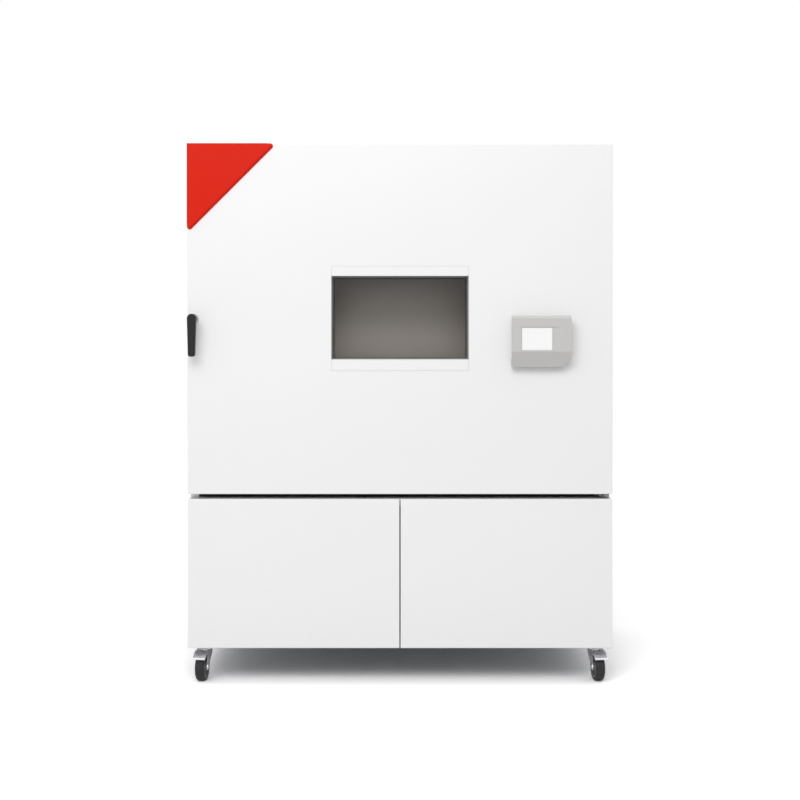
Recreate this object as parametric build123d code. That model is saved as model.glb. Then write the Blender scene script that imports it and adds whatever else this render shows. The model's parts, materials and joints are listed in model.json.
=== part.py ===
from build123d import *
import os

# Upright environmental test chamber on four swivel casters. A full-width insulated door with a window, a lever
# latch and a touch controller closes a stainless chamber; two service doors below close the cooling machinery.
# Millimetres, +Z up, +X to the right of someone facing the door, and the door faces -Y. The origin lies on the
# floor, in the middle of the overall footprint.

# Overall sizes
WIDTH = 1580.0
DEPTH = 1005.0
FLOOR_GAP = 130.0  # floor to the lower edge of the service doors
SERVICE_HEIGHT = 554.0
DOOR_SLOT = 19.0  # open slot between the service doors and the main door
DOOR_HEIGHT = 1302.0
FRONT_PROUD = 62.0  # how far the lever stands out of the door's face
REAR_PROUD = 62.0  # how far the drain spigot stands out of the rear panel
SIDE_PROUD = 24.0  # how far the port plug and the main switch stand out of the sides
SHEET = 1.5
FOLD = 3.0  # outer radius of a folded sheet edge

# Chamber and door
SIDE_WALL = 190.0  # from the chamber's side wall to the casing's outside
CHAMBER_HEIGHT = 1020.0
REAR_WALL = 105.0  # from the back of the duct to the rear
DUCT_DEPTH = 150.0  # air duct between the baffle and the back of the chamber
LINER = 2.0
DOOR_PAN = 70.0
SEAL_GAP = 12.0  # gap that the door gasket fills
PLUG_DEPTH = 80.0  # step of the door that reaches into the chamber's mouth
PLUG_MARGIN = 12.0
GASKET_WIDTH = 36.0
SEAT = 0.3  # clearance of a piece that rests in or on another
RUNNING = 0.05  # radial clearance of a pin that turns in its hole
DOOR_REVEAL = 0.3  # the inner pieces of the door stay this clear of its folded skin

# Window
WINDOW_WIDTH = 510.0
WINDOW_HEIGHT = 310.0
WINDOW_RAISE = 656.0  # middle of the window above the door's lower edge
WINDOW_WALL = 4.0
PANE = 6.0
TRIM_TOP = 36.0
TRIM_FOOT = 42.0
TRIM = 3.0
TRIM_JOINT = 0.8

# Red corner plate
CORNER_LEG = 332.0
CORNER_PROUD = 10.0
CORNER_WRAP = 1.5
CORNER_SIDE = 24.0
CORNER_BEVEL = 8.0
CORNER_TIP = 10.0

# Controller on the door
CONTROL_INSET = 268.4  # its middle from the door's right edge
CONTROL_BASE = 473.0  # lower edge above the door's lower edge
CONTROL_WIDTH = 219.0
CONTROL_HEIGHT = 190.0
CONTROL_PROUD = 57.0
CONTROL_SHELL = 36.0
CHIN_HEIGHT = 57.0
CHIN_SET_BACK = 27.0
CHIN_ROUND = 12.0
CONTROL_BROW = 10.0  # bevel along the top of the face
CHIN_CORNER = 31.0
SCREEN_WIDTH = 117.0
SCREEN_HEIGHT = 88.0
SCREEN_LEFT = 33.5  # from the controller's left edge
SCREEN_BASE = 60.0  # from the controller's lower edge
SCREEN_SINK = 3.0
SCREEN_RAMP = 28.0

# Lever latch
LATCH_IN = 23.0  # from the door's left edge
LATCH_RAISE = 653.0  # above the door's lower edge
LEVER_LENGTH = 158.0
LEVER_TOP_RADIUS = 16.5
LEVER_TIP_WIDTH = 26.0
LEVER_THICK = 22.0
ROSETTE_RADIUS = 18.0
ROSETTE = 9.0
SPINDLE_RADIUS = 6.0
CAM_LENGTH = 52.0
CAM_WIDTH = 14.0
CAM_THICK = 5.0
KEEPER_PLATE = 2.7
KEEPER_LIP = 2.5

# Door pivots
PIVOT_IN = 20.0  # from the door's right edge
PIVOT_BACK = 45.0  # from the door's face
PIVOT_RADIUS = 8.0
PIVOT_LENGTH = 22.0
PIVOT_BLOCK = 36.0
BRACKET = 8.0
BRACKET_REACH = 44.0
BRACKET_TAB = 4.0
BRACKET_TAB_HEIGHT = 70.0
BRACKET_TAB_WIDTH = 40.0
BRACKET_ARM = 24.0
BRACKET_EYE = 14.0
BRACKET_EDGE = 3.0
BRACKET_RISE = 5.0  # above the deck
BRACKET_SINK = 12.0  # below the top
PIVOT_NOTCH = 22.0

# Service doors and their hinges
SERVICE_PAN = 22.0
SERVICE_SPLIT = 4.0
SERVICE_GAP = 7.0  # from the back of a service door to the side panel behind it
SERVICE_PIN_RADIUS = 4.0
SERVICE_PIN_IN = 10.0
SERVICE_PIN_BACK = 12.0
SERVICE_ARM = 5.0
SERVICE_ARM_DROP = 7.0
SERVICE_NOSE = 6.5
STIFFENER_WIDTH = 60.0
STIFFENER_DEPTH = 14.0

# Lower housing
CASTER_HEIGHT = 128.0
FRAME_HEIGHT = 50.0
FRAME_RAIL = 44.0
FRAME_WALL = 4.0
FRAME_BAYS = 3
FRAME_FRONT_SET = 36.0  # front rail behind the service doors' faces
DECK = 3.0
DECK_LIP = 28.0
PANEL_RETURN = 25.0
LOUVRE_LENGTH = 440.0
LOUVRE_PITCH = 30.0
LOUVRE_COUNT = 13
LOUVRE_RAISE = 50.0
LOUVRE_SLOT = 12.0
LOUVRE_HOOD = 9.0
SIDE_LOUVRE_LENGTH = 180.0
SIDE_LOUVRE_COUNT = 6
SIDE_LOUVRE_RAISE = 110.0
SIDE_LOUVRE_SET = 260.0  # from the rear

# Access port through the left wall
PORT_RADIUS = 40.0
PORT_WALL = 3.0
PORT_RIM = 8.0
PORT_Y = -50.0
PLUG_HEAD = 14.0
PLUG_HEAD_RADIUS = 54.0

# Air circulation
FAN_DROP = 140.0  # below the chamber's ceiling
FAN_RADIUS = 105.0
FAN_WIDTH = 58.0
FAN_GAP = 12.0  # from the baffle to the fan wheel
FAN_BLADES = 9
FAN_HUB_RADIUS = 24.0
SHAFT_RADIUS = 7.0
MOTOR_RADIUS = 65.0
BAFFLE = 2.0
BAFFLE_SLOTS = 8
BAFFLE_SLOT_WIDTH = 60.0
BAFFLE_SLOT_HEIGHT = 24.0
GUARD_WIRE = 2.5

# Cooling machinery
COIL_MARGIN = 150.0  # from the coil to the chamber's side wall
COIL_HEIGHT = 360.0
COIL_DEPTH = 80.0
COIL_RAISE = 120.0  # above the chamber's floor
COIL_ROWS = 3
COIL_FOOT = 30.0
HEATER_RADIUS = 6.0
HEATER_GAP = 60.0  # over the coil
HEATER_INSET = 60.0
HEATER_PITCH = 50.0
HEATER_CLIP = 16.0
FIN_COUNT = 22
CONDENSER_WIDTH = 470.0
CONDENSER_HEIGHT = 430.0
CONDENSER_DEPTH = 70.0
CONDENSER_SET = 410.0  # its middle from the casing's right side
CONDENSER_RAISE = 15.0
CONDENSER_GAP = 12.0
SHROUD_DEPTH = 60.0
THROAT_DEPTH = 25.0
THROAT_GAP = 8.0
HUB_RADIUS = 34.0
HUB_LENGTH = 36.0
HUB_SET = 13.0  # from the shroud's plate to the hub's front
BLADE_COUNT = 5
BLADE_CHORD = 84.0
BLADE_THICK = 3.0
BLADE_ANGLE = 28.0
BLADE_RISE = 0.47  # sine of that angle
DRIVE_RADIUS = 42.0
DRIVE_LENGTH = 50.0
DRIVE_GAP = 6.0  # from the fan's hub to its motor
DRIVE_ARM = 10.0
CONDENSER_FAN_RADIUS = 165.0
COMPRESSOR_RADIUS = 85.0
COMPRESSOR_HEIGHT = 300.0
COMPRESSOR_INSET = 370.0  # from the casing's right side
COMPRESSOR_SET = 652.5  # from the rear
COMPRESSOR_FOOT = 12.0
TERMINAL_WIDTH = 60.0
TERMINAL_HEIGHT = 90.0
TERMINAL_DEPTH = 34.0
COMPRESSOR_PLATE = 6.0
PIPE_RADIUS = 8.0
PIPE_RAISE = 210.0  # lower pipe above the compressor's plate
PIPE_PITCH = 45.0
PIPE_INSET = 225.0  # from the chamber's side wall
PIPE_LEFT = 30.0  # first pipe beside the compressor's axis
PIPE_STEP = 50.0
PIPE_RUN = 90.0
PIPE_RISE = 60.0
PIPE_BEND = 34.0
BOX_WIDTH = 460.0
BOX_HEIGHT = 380.0
BOX_DEPTH = 160.0
BOX_SET = 120.0  # behind the housing's front edge
BOX_LID = 6.0
BOX_MARGIN = 14.0
BOX_GLANDS = 4
BOX_GLAND = 18.0
BOX_GLAND_RADIUS = 12.0
BOX_INSET = 370.0  # its middle from the casing's left side

# Shelf
SHELF_RAISE = 230.0  # above the chamber's floor
SHELF_MARGIN = 40.0  # from the shelf to the door plug and to the baffle
UPRIGHT_WIDTH = 30.0
UPRIGHT_DEPTH = 8.0
UPRIGHT_SLOTS = 12
UPRIGHT_MARGIN = 40.0  # from the ends to the chamber's floor and ceiling
RUNNER = 20.0
WIRE_RADIUS = 3.0
WIRE_COUNT = 17

# Rear fittings
SPIGOT_RADIUS = 8.0
SPIGOT_BORE = 5.5
SPIGOT_LENGTH = 34.0
GLAND_RADIUS = 22.0
GLAND_BORE = 9.0
GLAND_LENGTH = 42.0
FITTING_INSET = 230.0  # from the casing's left side
FITTING_RAISE = 110.0  # above the lower edge of the service doors
FITTING_PITCH = 120.0
SCREW_RADIUS = 5.0
SCREW_HEAD = 2.5

# Main switch on the right side
SWITCH_SET = 172.5  # from the service doors' faces
SWITCH_RAISE = 380.0  # above the lower edge of the service doors
SWITCH_RADIUS = 24.0
SWITCH_PLATE = 4.0

# Casters
WHEEL_RADIUS = 50.0
WHEEL_WIDTH = 34.0
TYRE_SHOULDER = 7.0
TRAIL = 40.0
TOE = 7.0  # angle that the front wheels stand turned outwards
CASTER_INSET_X = 53.0
CASTER_FRONT_SET = 88.5  # swivel axis behind the service doors' faces
CASTER_REAR_SET = 92.5  # swivel axis from the rear
PLATE_X = 80.0
PLATE_Y = 100.0
PLATE = 4.0
RACE_RADIUS = 29.0
RACE = 8.0
KING_PIN_RADIUS = 6.0
FORK_SHEET = 2.5
FORK_GAP = 2.0
AXLE_RADIUS = 5.0
BOSS_RADIUS = 13.0
PEDAL_PIN_RADIUS = 3.0
PEDAL_SHEET = 2.0
PEDAL_PLAY = 0.5  # from a leg of the fork to the pedal's ear beside it
PEDAL_REACH = 66.0
PEDAL_DROP = 19.0

# Worked out from the sizes above
HALF_WIDTH = WIDTH / 2
FACE_Y = -DEPTH / 2
REAR_Y = DEPTH / 2
DECK_Z = FLOOR_GAP + SERVICE_HEIGHT
DOOR_Z = DECK_Z + DOOR_SLOT
TOP_Z = DOOR_Z + DOOR_HEIGHT
DOOR_BACK_Y = FACE_Y + DOOR_PAN
BODY_Y = DOOR_BACK_Y + SEAL_GAP
PLUG_BACK_Y = DOOR_BACK_Y + PLUG_DEPTH
LINER_BACK_Y = REAR_Y - REAR_WALL
BAFFLE_Y = LINER_BACK_Y - DUCT_DEPTH
CHAMBER_WIDTH = WIDTH - 2 * SIDE_WALL
CHAMBER_X = CHAMBER_WIDTH / 2
CHAMBER_DEPTH = BAFFLE_Y - PLUG_BACK_Y
SHELF_DEPTH = CHAMBER_DEPTH - 2 * SHELF_MARGIN
CHAMBER_Z = DOOR_Z + (DOOR_HEIGHT - CHAMBER_HEIGHT) / 2
CHAMBER_TOP = CHAMBER_Z + CHAMBER_HEIGHT
WINDOW_X = WINDOW_WIDTH / 2
WINDOW_Z = DOOR_Z + WINDOW_RAISE - WINDOW_HEIGHT / 2
WINDOW_TOP = WINDOW_Z + WINDOW_HEIGHT
UNIT_Z = WINDOW_Z - TRIM_FOOT
UNIT_TOP = WINDOW_TOP + TRIM_TOP
LATCH_X = LATCH_IN - HALF_WIDTH
LATCH_Z = DOOR_Z + LATCH_RAISE
CONTROL_X = HALF_WIDTH - CONTROL_INSET
PIVOT_X = HALF_WIDTH - PIVOT_IN
PIVOT_Y = FACE_Y + PIVOT_BACK
SERVICE_BACK_Y = FACE_Y + SERVICE_PAN
HOUSING_Y = SERVICE_BACK_Y + SERVICE_GAP
FRAME_Z = CASTER_HEIGHT
FLOOR_Z = FRAME_Z + FRAME_HEIGHT  # top of the machine bay's floor
FRAME_X = HALF_WIDTH - SHEET
FRAME_FRONT_Y = FACE_Y + FRAME_FRONT_SET
FRAME_REAR_Y = REAR_Y - SHEET
FAN_Z = CHAMBER_TOP - FAN_DROP
SHELF_Z = CHAMBER_Z + SHELF_RAISE
PORT_Z = CHAMBER_Z + CHAMBER_HEIGHT / 2
CASTER_X = HALF_WIDTH - CASTER_INSET_X
CASTER_FRONT_Y = FACE_Y + CASTER_FRONT_SET
CASTER_REAR_Y = REAR_Y - CASTER_REAR_SET
FITTING_Z = FLOOR_GAP + FITTING_RAISE
SWITCH_Y = FACE_Y + SWITCH_SET
SWITCH_Z = FLOOR_GAP + SWITCH_RAISE
COMPRESSOR_Y = REAR_Y - COMPRESSOR_SET
CONDENSER_X = HALF_WIDTH - CONDENSER_SET
COMPRESSOR_X = HALF_WIDTH - COMPRESSOR_INSET
BOX_X = BOX_INSET - HALF_WIDTH
FITTING_X = FITTING_INSET - HALF_WIDTH
COIL_WIDTH = CHAMBER_WIDTH - 2 * COIL_MARGIN
CONDENSER_FRONT_Y = REAR_Y - SHEET - CONDENSER_GAP - CONDENSER_DEPTH
SHROUD_Y = CONDENSER_FRONT_Y - SHROUD_DEPTH
CONDENSER_Z = FLOOR_Z + CONDENSER_RAISE
CONDENSER_MIDDLE_Z = CONDENSER_Z + CONDENSER_HEIGHT / 2
COIL_Z = CHAMBER_Z + COIL_RAISE
PIPE_X = (CHAMBER_X - PIPE_INSET - PIPE_PITCH, CHAMBER_X - PIPE_INSET)
PIPE_Y = (BAFFLE_Y + LINER_BACK_Y) / 2


def block(x, y, z):
    """A box from its low and high corner along each axis."""
    size = (x[1] - x[0], y[1] - y[0], z[1] - z[0])
    middle = ((x[0] + x[1]) / 2, (y[0] + y[1]) / 2, (z[0] + z[1]) / 2)
    return Pos(*middle) * Box(*size)


def about(middle, size):
    """The low and high end of a span of a size about its middle."""
    return (middle - size / 2, middle + size / 2)


def rod(start, end, radius):
    """A round bar between two points."""
    axis = Vector(*end) - Vector(*start)
    bar = Cylinder(radius, axis.length, align=(Align.CENTER, Align.CENTER, Align.MIN))
    return Plane(origin=start, z_dir=axis).location * bar


def profile_x(points, x, width):
    """A side outline of (y, z) points carried along X from x."""
    return extrude(Plane.YZ.offset(x) * Polygon(*points, align=None), amount=width, dir=(1, 0, 0))


def profile_y(outline, y, depth):
    """A front outline in (x, z), drawn flat, carried to the rear from y."""
    return extrude(Plane.XZ.offset(-y) * outline, amount=depth, dir=(0, 1, 0))


def profile_z(points, z, height):
    """A plan outline of (x, y) points carried up from z."""
    return extrude(Plane.XY.offset(z) * Polygon(*points, align=None), amount=height, dir=(0, 0, 1))


def pan(x, y, z):
    """A folded sheet tray that opens to the rear, with rounded front edges."""
    tray = block(x, y, z)
    tray = fillet(tray.faces().sort_by(Axis.Y)[0].edges(), FOLD)
    hollow = block((x[0] + SHEET, x[1] - SHEET), (y[0] + SHEET, y[1] + SHEET), (z[0] + SHEET, z[1] - SHEET))
    return tray - hollow


# Lower housing


def base_frame():
    """Square-tube frame with cross tubes, solid pads over the casters and a floor plate on top."""
    x, y = (-FRAME_X, FRAME_X), (FRAME_FRONT_Y, FRAME_REAR_Y)
    z = (FRAME_Z, FLOOR_Z - FRAME_WALL)
    wall = FRAME_WALL
    frame = block(x, y, (FRAME_Z, FLOOR_Z))
    hollow = block((x[0] + wall, x[1] - wall), (y[0] + wall, y[1] - wall), (z[0] + wall, z[1]))
    pitch = (x[1] - x[0] - FRAME_RAIL) / FRAME_BAYS
    bay_y = (y[0] + FRAME_RAIL, y[1] - FRAME_RAIL)
    for bay in range(FRAME_BAYS):
        left = x[0] + FRAME_RAIL + bay * pitch
        right = left + pitch - FRAME_RAIL
        frame -= block((left, right), bay_y, z)
        hollow -= block((left - wall, right + wall), (bay_y[0] - wall, bay_y[1] + wall), z)
    for side in (-1, 1):
        for wheel_y in (CASTER_FRONT_Y, CASTER_REAR_Y):
            pad = block(about(side * CASTER_X, PLATE_X), about(wheel_y, PLATE_Y), z)
            frame += pad
            hollow -= pad
    return frame - hollow


def side_louvres(side):
    """Cutters for the ventilation slots of a lower side panel."""
    wall = side * HALF_WIDTH
    slots = []
    for index in range(SIDE_LOUVRE_COUNT):
        z = FLOOR_Z + SIDE_LOUVRE_RAISE + index * LOUVRE_PITCH
        middle = REAR_Y - SIDE_LOUVRE_SET
        slots.append(block(about(wall, 4 * SHEET), about(middle, SIDE_LOUVRE_LENGTH), (z, z + LOUVRE_SLOT)))
    return slots


def lower_side(side):
    """Folded side panel of the machine bay: outer sheet with a return at the front."""
    inner = side * (HALF_WIDTH - SHEET)
    outer = side * HALF_WIDTH
    turned = side * (HALF_WIDTH - PANEL_RETURN)
    z = (FLOOR_GAP, DECK_Z - DECK)
    panel = block(sorted((inner, outer)), (HOUSING_Y, REAR_Y - SHEET), z)
    panel += block(sorted((turned, outer)), (HOUSING_Y, HOUSING_Y + SHEET), (FLOOR_Z, z[1]))
    for slot in side_louvres(side):
        panel -= slot
    if side > 0:
        panel -= rod((inner - SHEET, SWITCH_Y, SWITCH_Z), (outer + SHEET, SWITCH_Y, SWITCH_Z), PIVOT_RADIUS + SEAT)
    return panel


def service_deck():
    """Plate over the machine bay that carries the chamber, with a turned-down lip in front."""
    plate = block((-HALF_WIDTH, HALF_WIDTH), (HOUSING_Y, REAR_Y - SHEET), (DECK_Z - DECK, DECK_Z))
    lip_x = HALF_WIDTH - PANEL_RETURN
    plate += block((-lip_x, lip_x), (HOUSING_Y, HOUSING_Y + SHEET), (DECK_Z - DECK_LIP, DECK_Z))
    for x in PIPE_X:
        plate -= rod((x, PIPE_Y, DECK_Z - 2 * DECK), (x, PIPE_Y, DECK_Z + DECK), PIPE_RADIUS + SEAT)
    return plate


def lower_rear_panel():
    """Rear sheet of the machine bay, with hooded louvres behind the condenser."""
    y = (REAR_Y - SHEET, REAR_Y)
    panel = block((-HALF_WIDTH, HALF_WIDTH), y, (FLOOR_GAP, DECK_Z))
    first = FLOOR_Z + LOUVRE_RAISE
    for index in range(LOUVRE_COUNT):
        z = first + index * LOUVRE_PITCH
        hood = [(REAR_Y, z + LOUVRE_SLOT + LOUVRE_HOOD), (REAR_Y + LOUVRE_HOOD, z), (REAR_Y + LOUVRE_HOOD - SHEET, z),
                (REAR_Y, z + LOUVRE_SLOT)]
        panel += profile_x(hood, CONDENSER_X - LOUVRE_LENGTH / 2, LOUVRE_LENGTH)
        panel -= block(about(CONDENSER_X, LOUVRE_LENGTH), about(REAR_Y - SHEET / 2, 2 * SHEET), (z, z + LOUVRE_SLOT))
    for offset, radius in ((0, SPIGOT_RADIUS), (FITTING_PITCH, GLAND_BORE + 5.0)):
        x = FITTING_X + offset
        panel -= rod((x, REAR_Y - 2 * SHEET, FITTING_Z), (x, REAR_Y + SHEET, FITTING_Z), radius + SEAT)
    return panel


# Chamber body


def upper_casing():
    """Four-sided outer wrap of the insulated body."""
    y = (BODY_Y, REAR_Y - SHEET)
    wrap = block((-HALF_WIDTH, HALF_WIDTH), y, (DECK_Z, TOP_Z))
    wrap = fillet(wrap.edges().filter_by(Axis.Y).group_by(Axis.Z)[-1], FOLD)
    inner = HALF_WIDTH - SHEET
    wrap -= block((-inner, inner), (y[0] - SHEET, y[1] + SHEET), (DECK_Z + SHEET, TOP_Z - SHEET))
    wrap -= rod((-HALF_WIDTH - SHEET, PORT_Y, PORT_Z), (-inner + SHEET, PORT_Y, PORT_Z), PORT_RADIUS + PORT_WALL + SEAT)
    for x in PIPE_X:
        wrap -= rod((x, PIPE_Y, DECK_Z - SHEET), (x, PIPE_Y, DECK_Z + 2 * SHEET), PIPE_RADIUS + SEAT)
    return wrap


def upper_rear_panel():
    """Rear sheet of the body, with a round vent over the fan motor."""
    panel = block((-HALF_WIDTH, HALF_WIDTH), (REAR_Y - SHEET, REAR_Y), (DECK_Z, TOP_Z))
    hole = 9.0
    rows = 5
    pitch = 24.0
    for row in range(rows):
        z = FAN_Z + (row - (rows - 1) / 2) * pitch
        half = hole + pitch * (rows - 1 - abs(row - (rows - 1) / 2)) / 2
        panel -= block((-half, half), (REAR_Y - 2 * SHEET, REAR_Y + SHEET), about(z, hole))
    return panel


def front_frame():
    """Stainless face frame that the gasket closes on."""
    x, z = HALF_WIDTH - SHEET, (DECK_Z + SHEET, TOP_Z - SHEET)
    frame = block((-x, x), (BODY_Y, BODY_Y + LINER), z)
    mouth = CHAMBER_X + LINER
    return frame - block((-mouth, mouth), (BODY_Y - LINER, BODY_Y + 2 * LINER), (CHAMBER_Z - LINER, CHAMBER_TOP + LINER))


def chamber_liner():
    """Welded stainless tank, open to the front, with a flange and the port sleeve through its left wall."""
    x, z = CHAMBER_X + LINER, (CHAMBER_Z - LINER, CHAMBER_TOP + LINER)
    tank = block((-x, x), (BODY_Y, LINER_BACK_Y + LINER), z)
    flange = 25.0
    tank += block((-x - flange, x + flange), (BODY_Y + LINER, BODY_Y + 2 * LINER), (z[0] - flange, z[1] + flange))
    sleeve_end = -HALF_WIDTH - PORT_RIM / 2
    tank += rod((-x, PORT_Y, PORT_Z), (sleeve_end, PORT_Y, PORT_Z), PORT_RADIUS + PORT_WALL)
    tank += rod((-HALF_WIDTH, PORT_Y, PORT_Z), (sleeve_end, PORT_Y, PORT_Z), PORT_RADIUS + PORT_WALL + PORT_RIM)
    tank -= block((-CHAMBER_X, CHAMBER_X), (BODY_Y - LINER, LINER_BACK_Y), (CHAMBER_Z, CHAMBER_TOP))
    tank -= rod((-CHAMBER_X, PORT_Y, PORT_Z), (sleeve_end - 1.0, PORT_Y, PORT_Z), PORT_RADIUS)
    tank -= rod((0, LINER_BACK_Y - LINER, FAN_Z), (0, LINER_BACK_Y + 2 * LINER, FAN_Z), SHAFT_RADIUS + SEAT)
    for pipe_x in PIPE_X:
        tank -= rod((pipe_x, PIPE_Y, z[0] - LINER), (pipe_x, PIPE_Y, CHAMBER_Z + LINER), PIPE_RADIUS + SEAT)
    return tank


def body_insulation():
    """Foam between the casing and the tank."""
    x = HALF_WIDTH - SHEET - DOOR_REVEAL
    y = (BODY_Y + 2 * LINER + DOOR_REVEAL, REAR_Y - SHEET - DOOR_REVEAL)
    foam = block((-x, x), y, (DECK_Z + SHEET + DOOR_REVEAL, TOP_Z - SHEET - DOOR_REVEAL))
    tank_x = CHAMBER_X + LINER + DOOR_REVEAL
    tank_z = (CHAMBER_Z - LINER - DOOR_REVEAL, CHAMBER_TOP + LINER + DOOR_REVEAL)
    foam -= block((-tank_x, tank_x), (y[0] - LINER, LINER_BACK_Y + LINER + DOOR_REVEAL), tank_z)
    foam -= rod((-tank_x, PORT_Y, PORT_Z), (-x - 1.0, PORT_Y, PORT_Z), PORT_RADIUS + PORT_WALL + SEAT)
    foam -= rod((0, LINER_BACK_Y, FAN_Z), (0, y[1] + 1.0, FAN_Z), MOTOR_RADIUS + SEAT)
    for pipe_x in PIPE_X:
        foam -= rod((pipe_x, PIPE_Y, DECK_Z), (pipe_x, PIPE_Y, CHAMBER_Z), PIPE_RADIUS + SEAT)
    return foam


def air_baffle():
    """Stainless wall in front of the duct, with a guarded fan inlet and air slots down both sides."""
    x, z = CHAMBER_X - SEAT, (CHAMBER_Z + SEAT, CHAMBER_TOP - SEAT)
    wall = block((-x, x), (BAFFLE_Y, BAFFLE_Y + BAFFLE), z)
    inlet = FAN_RADIUS - 15.0
    wall -= rod((0, BAFFLE_Y - BAFFLE, FAN_Z), (0, BAFFLE_Y + 2 * BAFFLE, FAN_Z), inlet)
    slot_x = CHAMBER_X - BAFFLE_SLOT_WIDTH
    pitch = CHAMBER_HEIGHT / (BAFFLE_SLOTS + 1)
    for index in range(BAFFLE_SLOTS):
        slot_z = CHAMBER_Z + (index + 1) * pitch
        for side in (-1, 1):
            wall -= block(about(side * slot_x, BAFFLE_SLOT_WIDTH), about(BAFFLE_Y, 4 * BAFFLE), about(slot_z, BAFFLE_SLOT_HEIGHT))
    middle = BAFFLE_Y + BAFFLE / 2
    for radius in (inlet / 4, inlet / 2, inlet * 3 / 4):
        wall += Pos(0, middle, FAN_Z) * Rot(90, 0, 0) * (
            Cylinder(radius + GUARD_WIRE / 2, BAFFLE) - Cylinder(radius - GUARD_WIRE / 2, BAFFLE))
    wall += block(about(0, GUARD_WIRE), (BAFFLE_Y, BAFFLE_Y + BAFFLE), about(FAN_Z, 2 * inlet + BAFFLE))
    wall += block(about(0, 2 * inlet + BAFFLE), (BAFFLE_Y, BAFFLE_Y + BAFFLE), about(FAN_Z, GUARD_WIRE))
    return wall


def circulation_fan():
    """Radial fan wheel with backward blades, on the motor's shaft."""
    front = BAFFLE_Y + BAFFLE + FAN_GAP
    back = front + FAN_WIDTH
    plate = 3.0
    wheel = rod((0, back - plate, FAN_Z), (0, back, FAN_Z), FAN_RADIUS)
    wheel += rod((0, front + plate, FAN_Z), (0, back, FAN_Z), FAN_HUB_RADIUS)
    eye = FAN_RADIUS - 28.0
    wheel += rod((0, front, FAN_Z), (0, front + plate, FAN_Z), FAN_RADIUS) - rod(
        (0, front - plate, FAN_Z), (0, front + 2 * plate, FAN_Z), eye)
    lean = 32.0
    blade = Rot(0, lean, 0) * block(about(0, plate), (front + plate / 2, back - plate / 2), about(0, FAN_RADIUS * 0.46))
    blade = Pos(0, 0, FAN_RADIUS * 0.74) * blade
    for index in range(FAN_BLADES):
        wheel += Pos(0, 0, FAN_Z) * Rot(0, index * 360.0 / FAN_BLADES, 0) * blade
    return wheel - rod((0, front - plate, FAN_Z), (0, back + plate, FAN_Z), SHAFT_RADIUS + RUNNING)


def fan_motor():
    """Motor in its pocket of the rear insulation, with a collar that faces the tank."""
    tank_back = LINER_BACK_Y + LINER
    motor = rod((0, tank_back + SEAT, FAN_Z), (0, REAR_Y - SHEET - SEAT, FAN_Z), MOTOR_RADIUS)
    start = BAFFLE_Y + BAFFLE + FAN_GAP
    return motor + rod((0, start, FAN_Z), (0, tank_back + 1.0, FAN_Z), SHAFT_RADIUS)


def evaporator():
    """Finned cooling coil in the duct, with return bends at both ends."""
    depth = (PIPE_Y - COIL_DEPTH / 2, PIPE_Y + COIL_DEPTH / 2)
    z = (COIL_Z, COIL_Z + COIL_HEIGHT)
    coil = block(about(0, COIL_WIDTH), depth, z)
    pitch = COIL_WIDTH / FIN_COUNT
    for index in range(FIN_COUNT):
        x = -COIL_WIDTH / 2 + (index + 0.5) * pitch
        coil -= block(about(x, pitch * 0.7), (depth[0] - 1.0, depth[0] + COIL_DEPTH / 3), (z[0] - 1.0, z[1] + 1.0))
    bend_pitch = COIL_HEIGHT / COIL_ROWS
    for side in (-1, 1):
        for row in range(COIL_ROWS):
            middle = z[0] + (row + 0.5) * bend_pitch
            bend = Torus(bend_pitch / 4, HEATER_RADIUS)
            bend = Pos(side * COIL_WIDTH / 2, PIPE_Y, middle) * Rot(90, 0, 0) * bend
            keep = sorted((side * (COIL_WIDTH / 2 - 1.0), side * (COIL_WIDTH / 2 + bend_pitch)))
            coil += bend & block(keep, depth, z)
    for side in (-1, 1):
        x = about(side * (COIL_WIDTH / 2 - COIL_FOOT), COIL_FOOT)
        coil += block(x, (depth[1] - 3.0, depth[1]), (CHAMBER_Z, z[0] + 1.0))
    return coil


def air_heater():
    """Tubular heater bent over the coil, on clips from the tank's back wall."""
    z = COIL_Z + COIL_HEIGHT + HEATER_GAP
    half = COIL_WIDTH / 2 - HEATER_INSET
    upper = z + HEATER_PITCH
    path = FilletPolyline((half, PIPE_Y, z), (-half, PIPE_Y, z), (-half, PIPE_Y, upper), (half, PIPE_Y, upper),
                          radius=HEATER_PITCH * 0.45)
    heater = sweep(Plane(origin=path @ 0, z_dir=path % 0) * Circle(HEATER_RADIUS), path=path)
    for x in (-half / 2, half / 2):
        for run in (z, upper):
            heater += block(about(x, HEATER_CLIP), (PIPE_Y, LINER_BACK_Y - SEAT), about(run, HEATER_CLIP / 2))
    return heater


# Shelf and its rails


def upright(x_side, y):
    """One slotted upright against a side wall of the chamber."""
    wall = x_side * (CHAMBER_X - SEAT)
    inner = x_side * (CHAMBER_X - SEAT - UPRIGHT_DEPTH)
    low = CHAMBER_Z + UPRIGHT_MARGIN
    height = CHAMBER_HEIGHT - 2 * UPRIGHT_MARGIN
    rail = block(sorted((wall, inner)), about(y, UPRIGHT_WIDTH), (low, low + height))
    pitch = height / UPRIGHT_SLOTS
    for index in range(UPRIGHT_SLOTS):
        z = low + (index + 0.5) * pitch
        rail -= block(sorted((inner - x_side, inner + x_side * 3.0)), about(y, UPRIGHT_WIDTH / 3), about(z, 12.0))
    return rail


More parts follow.
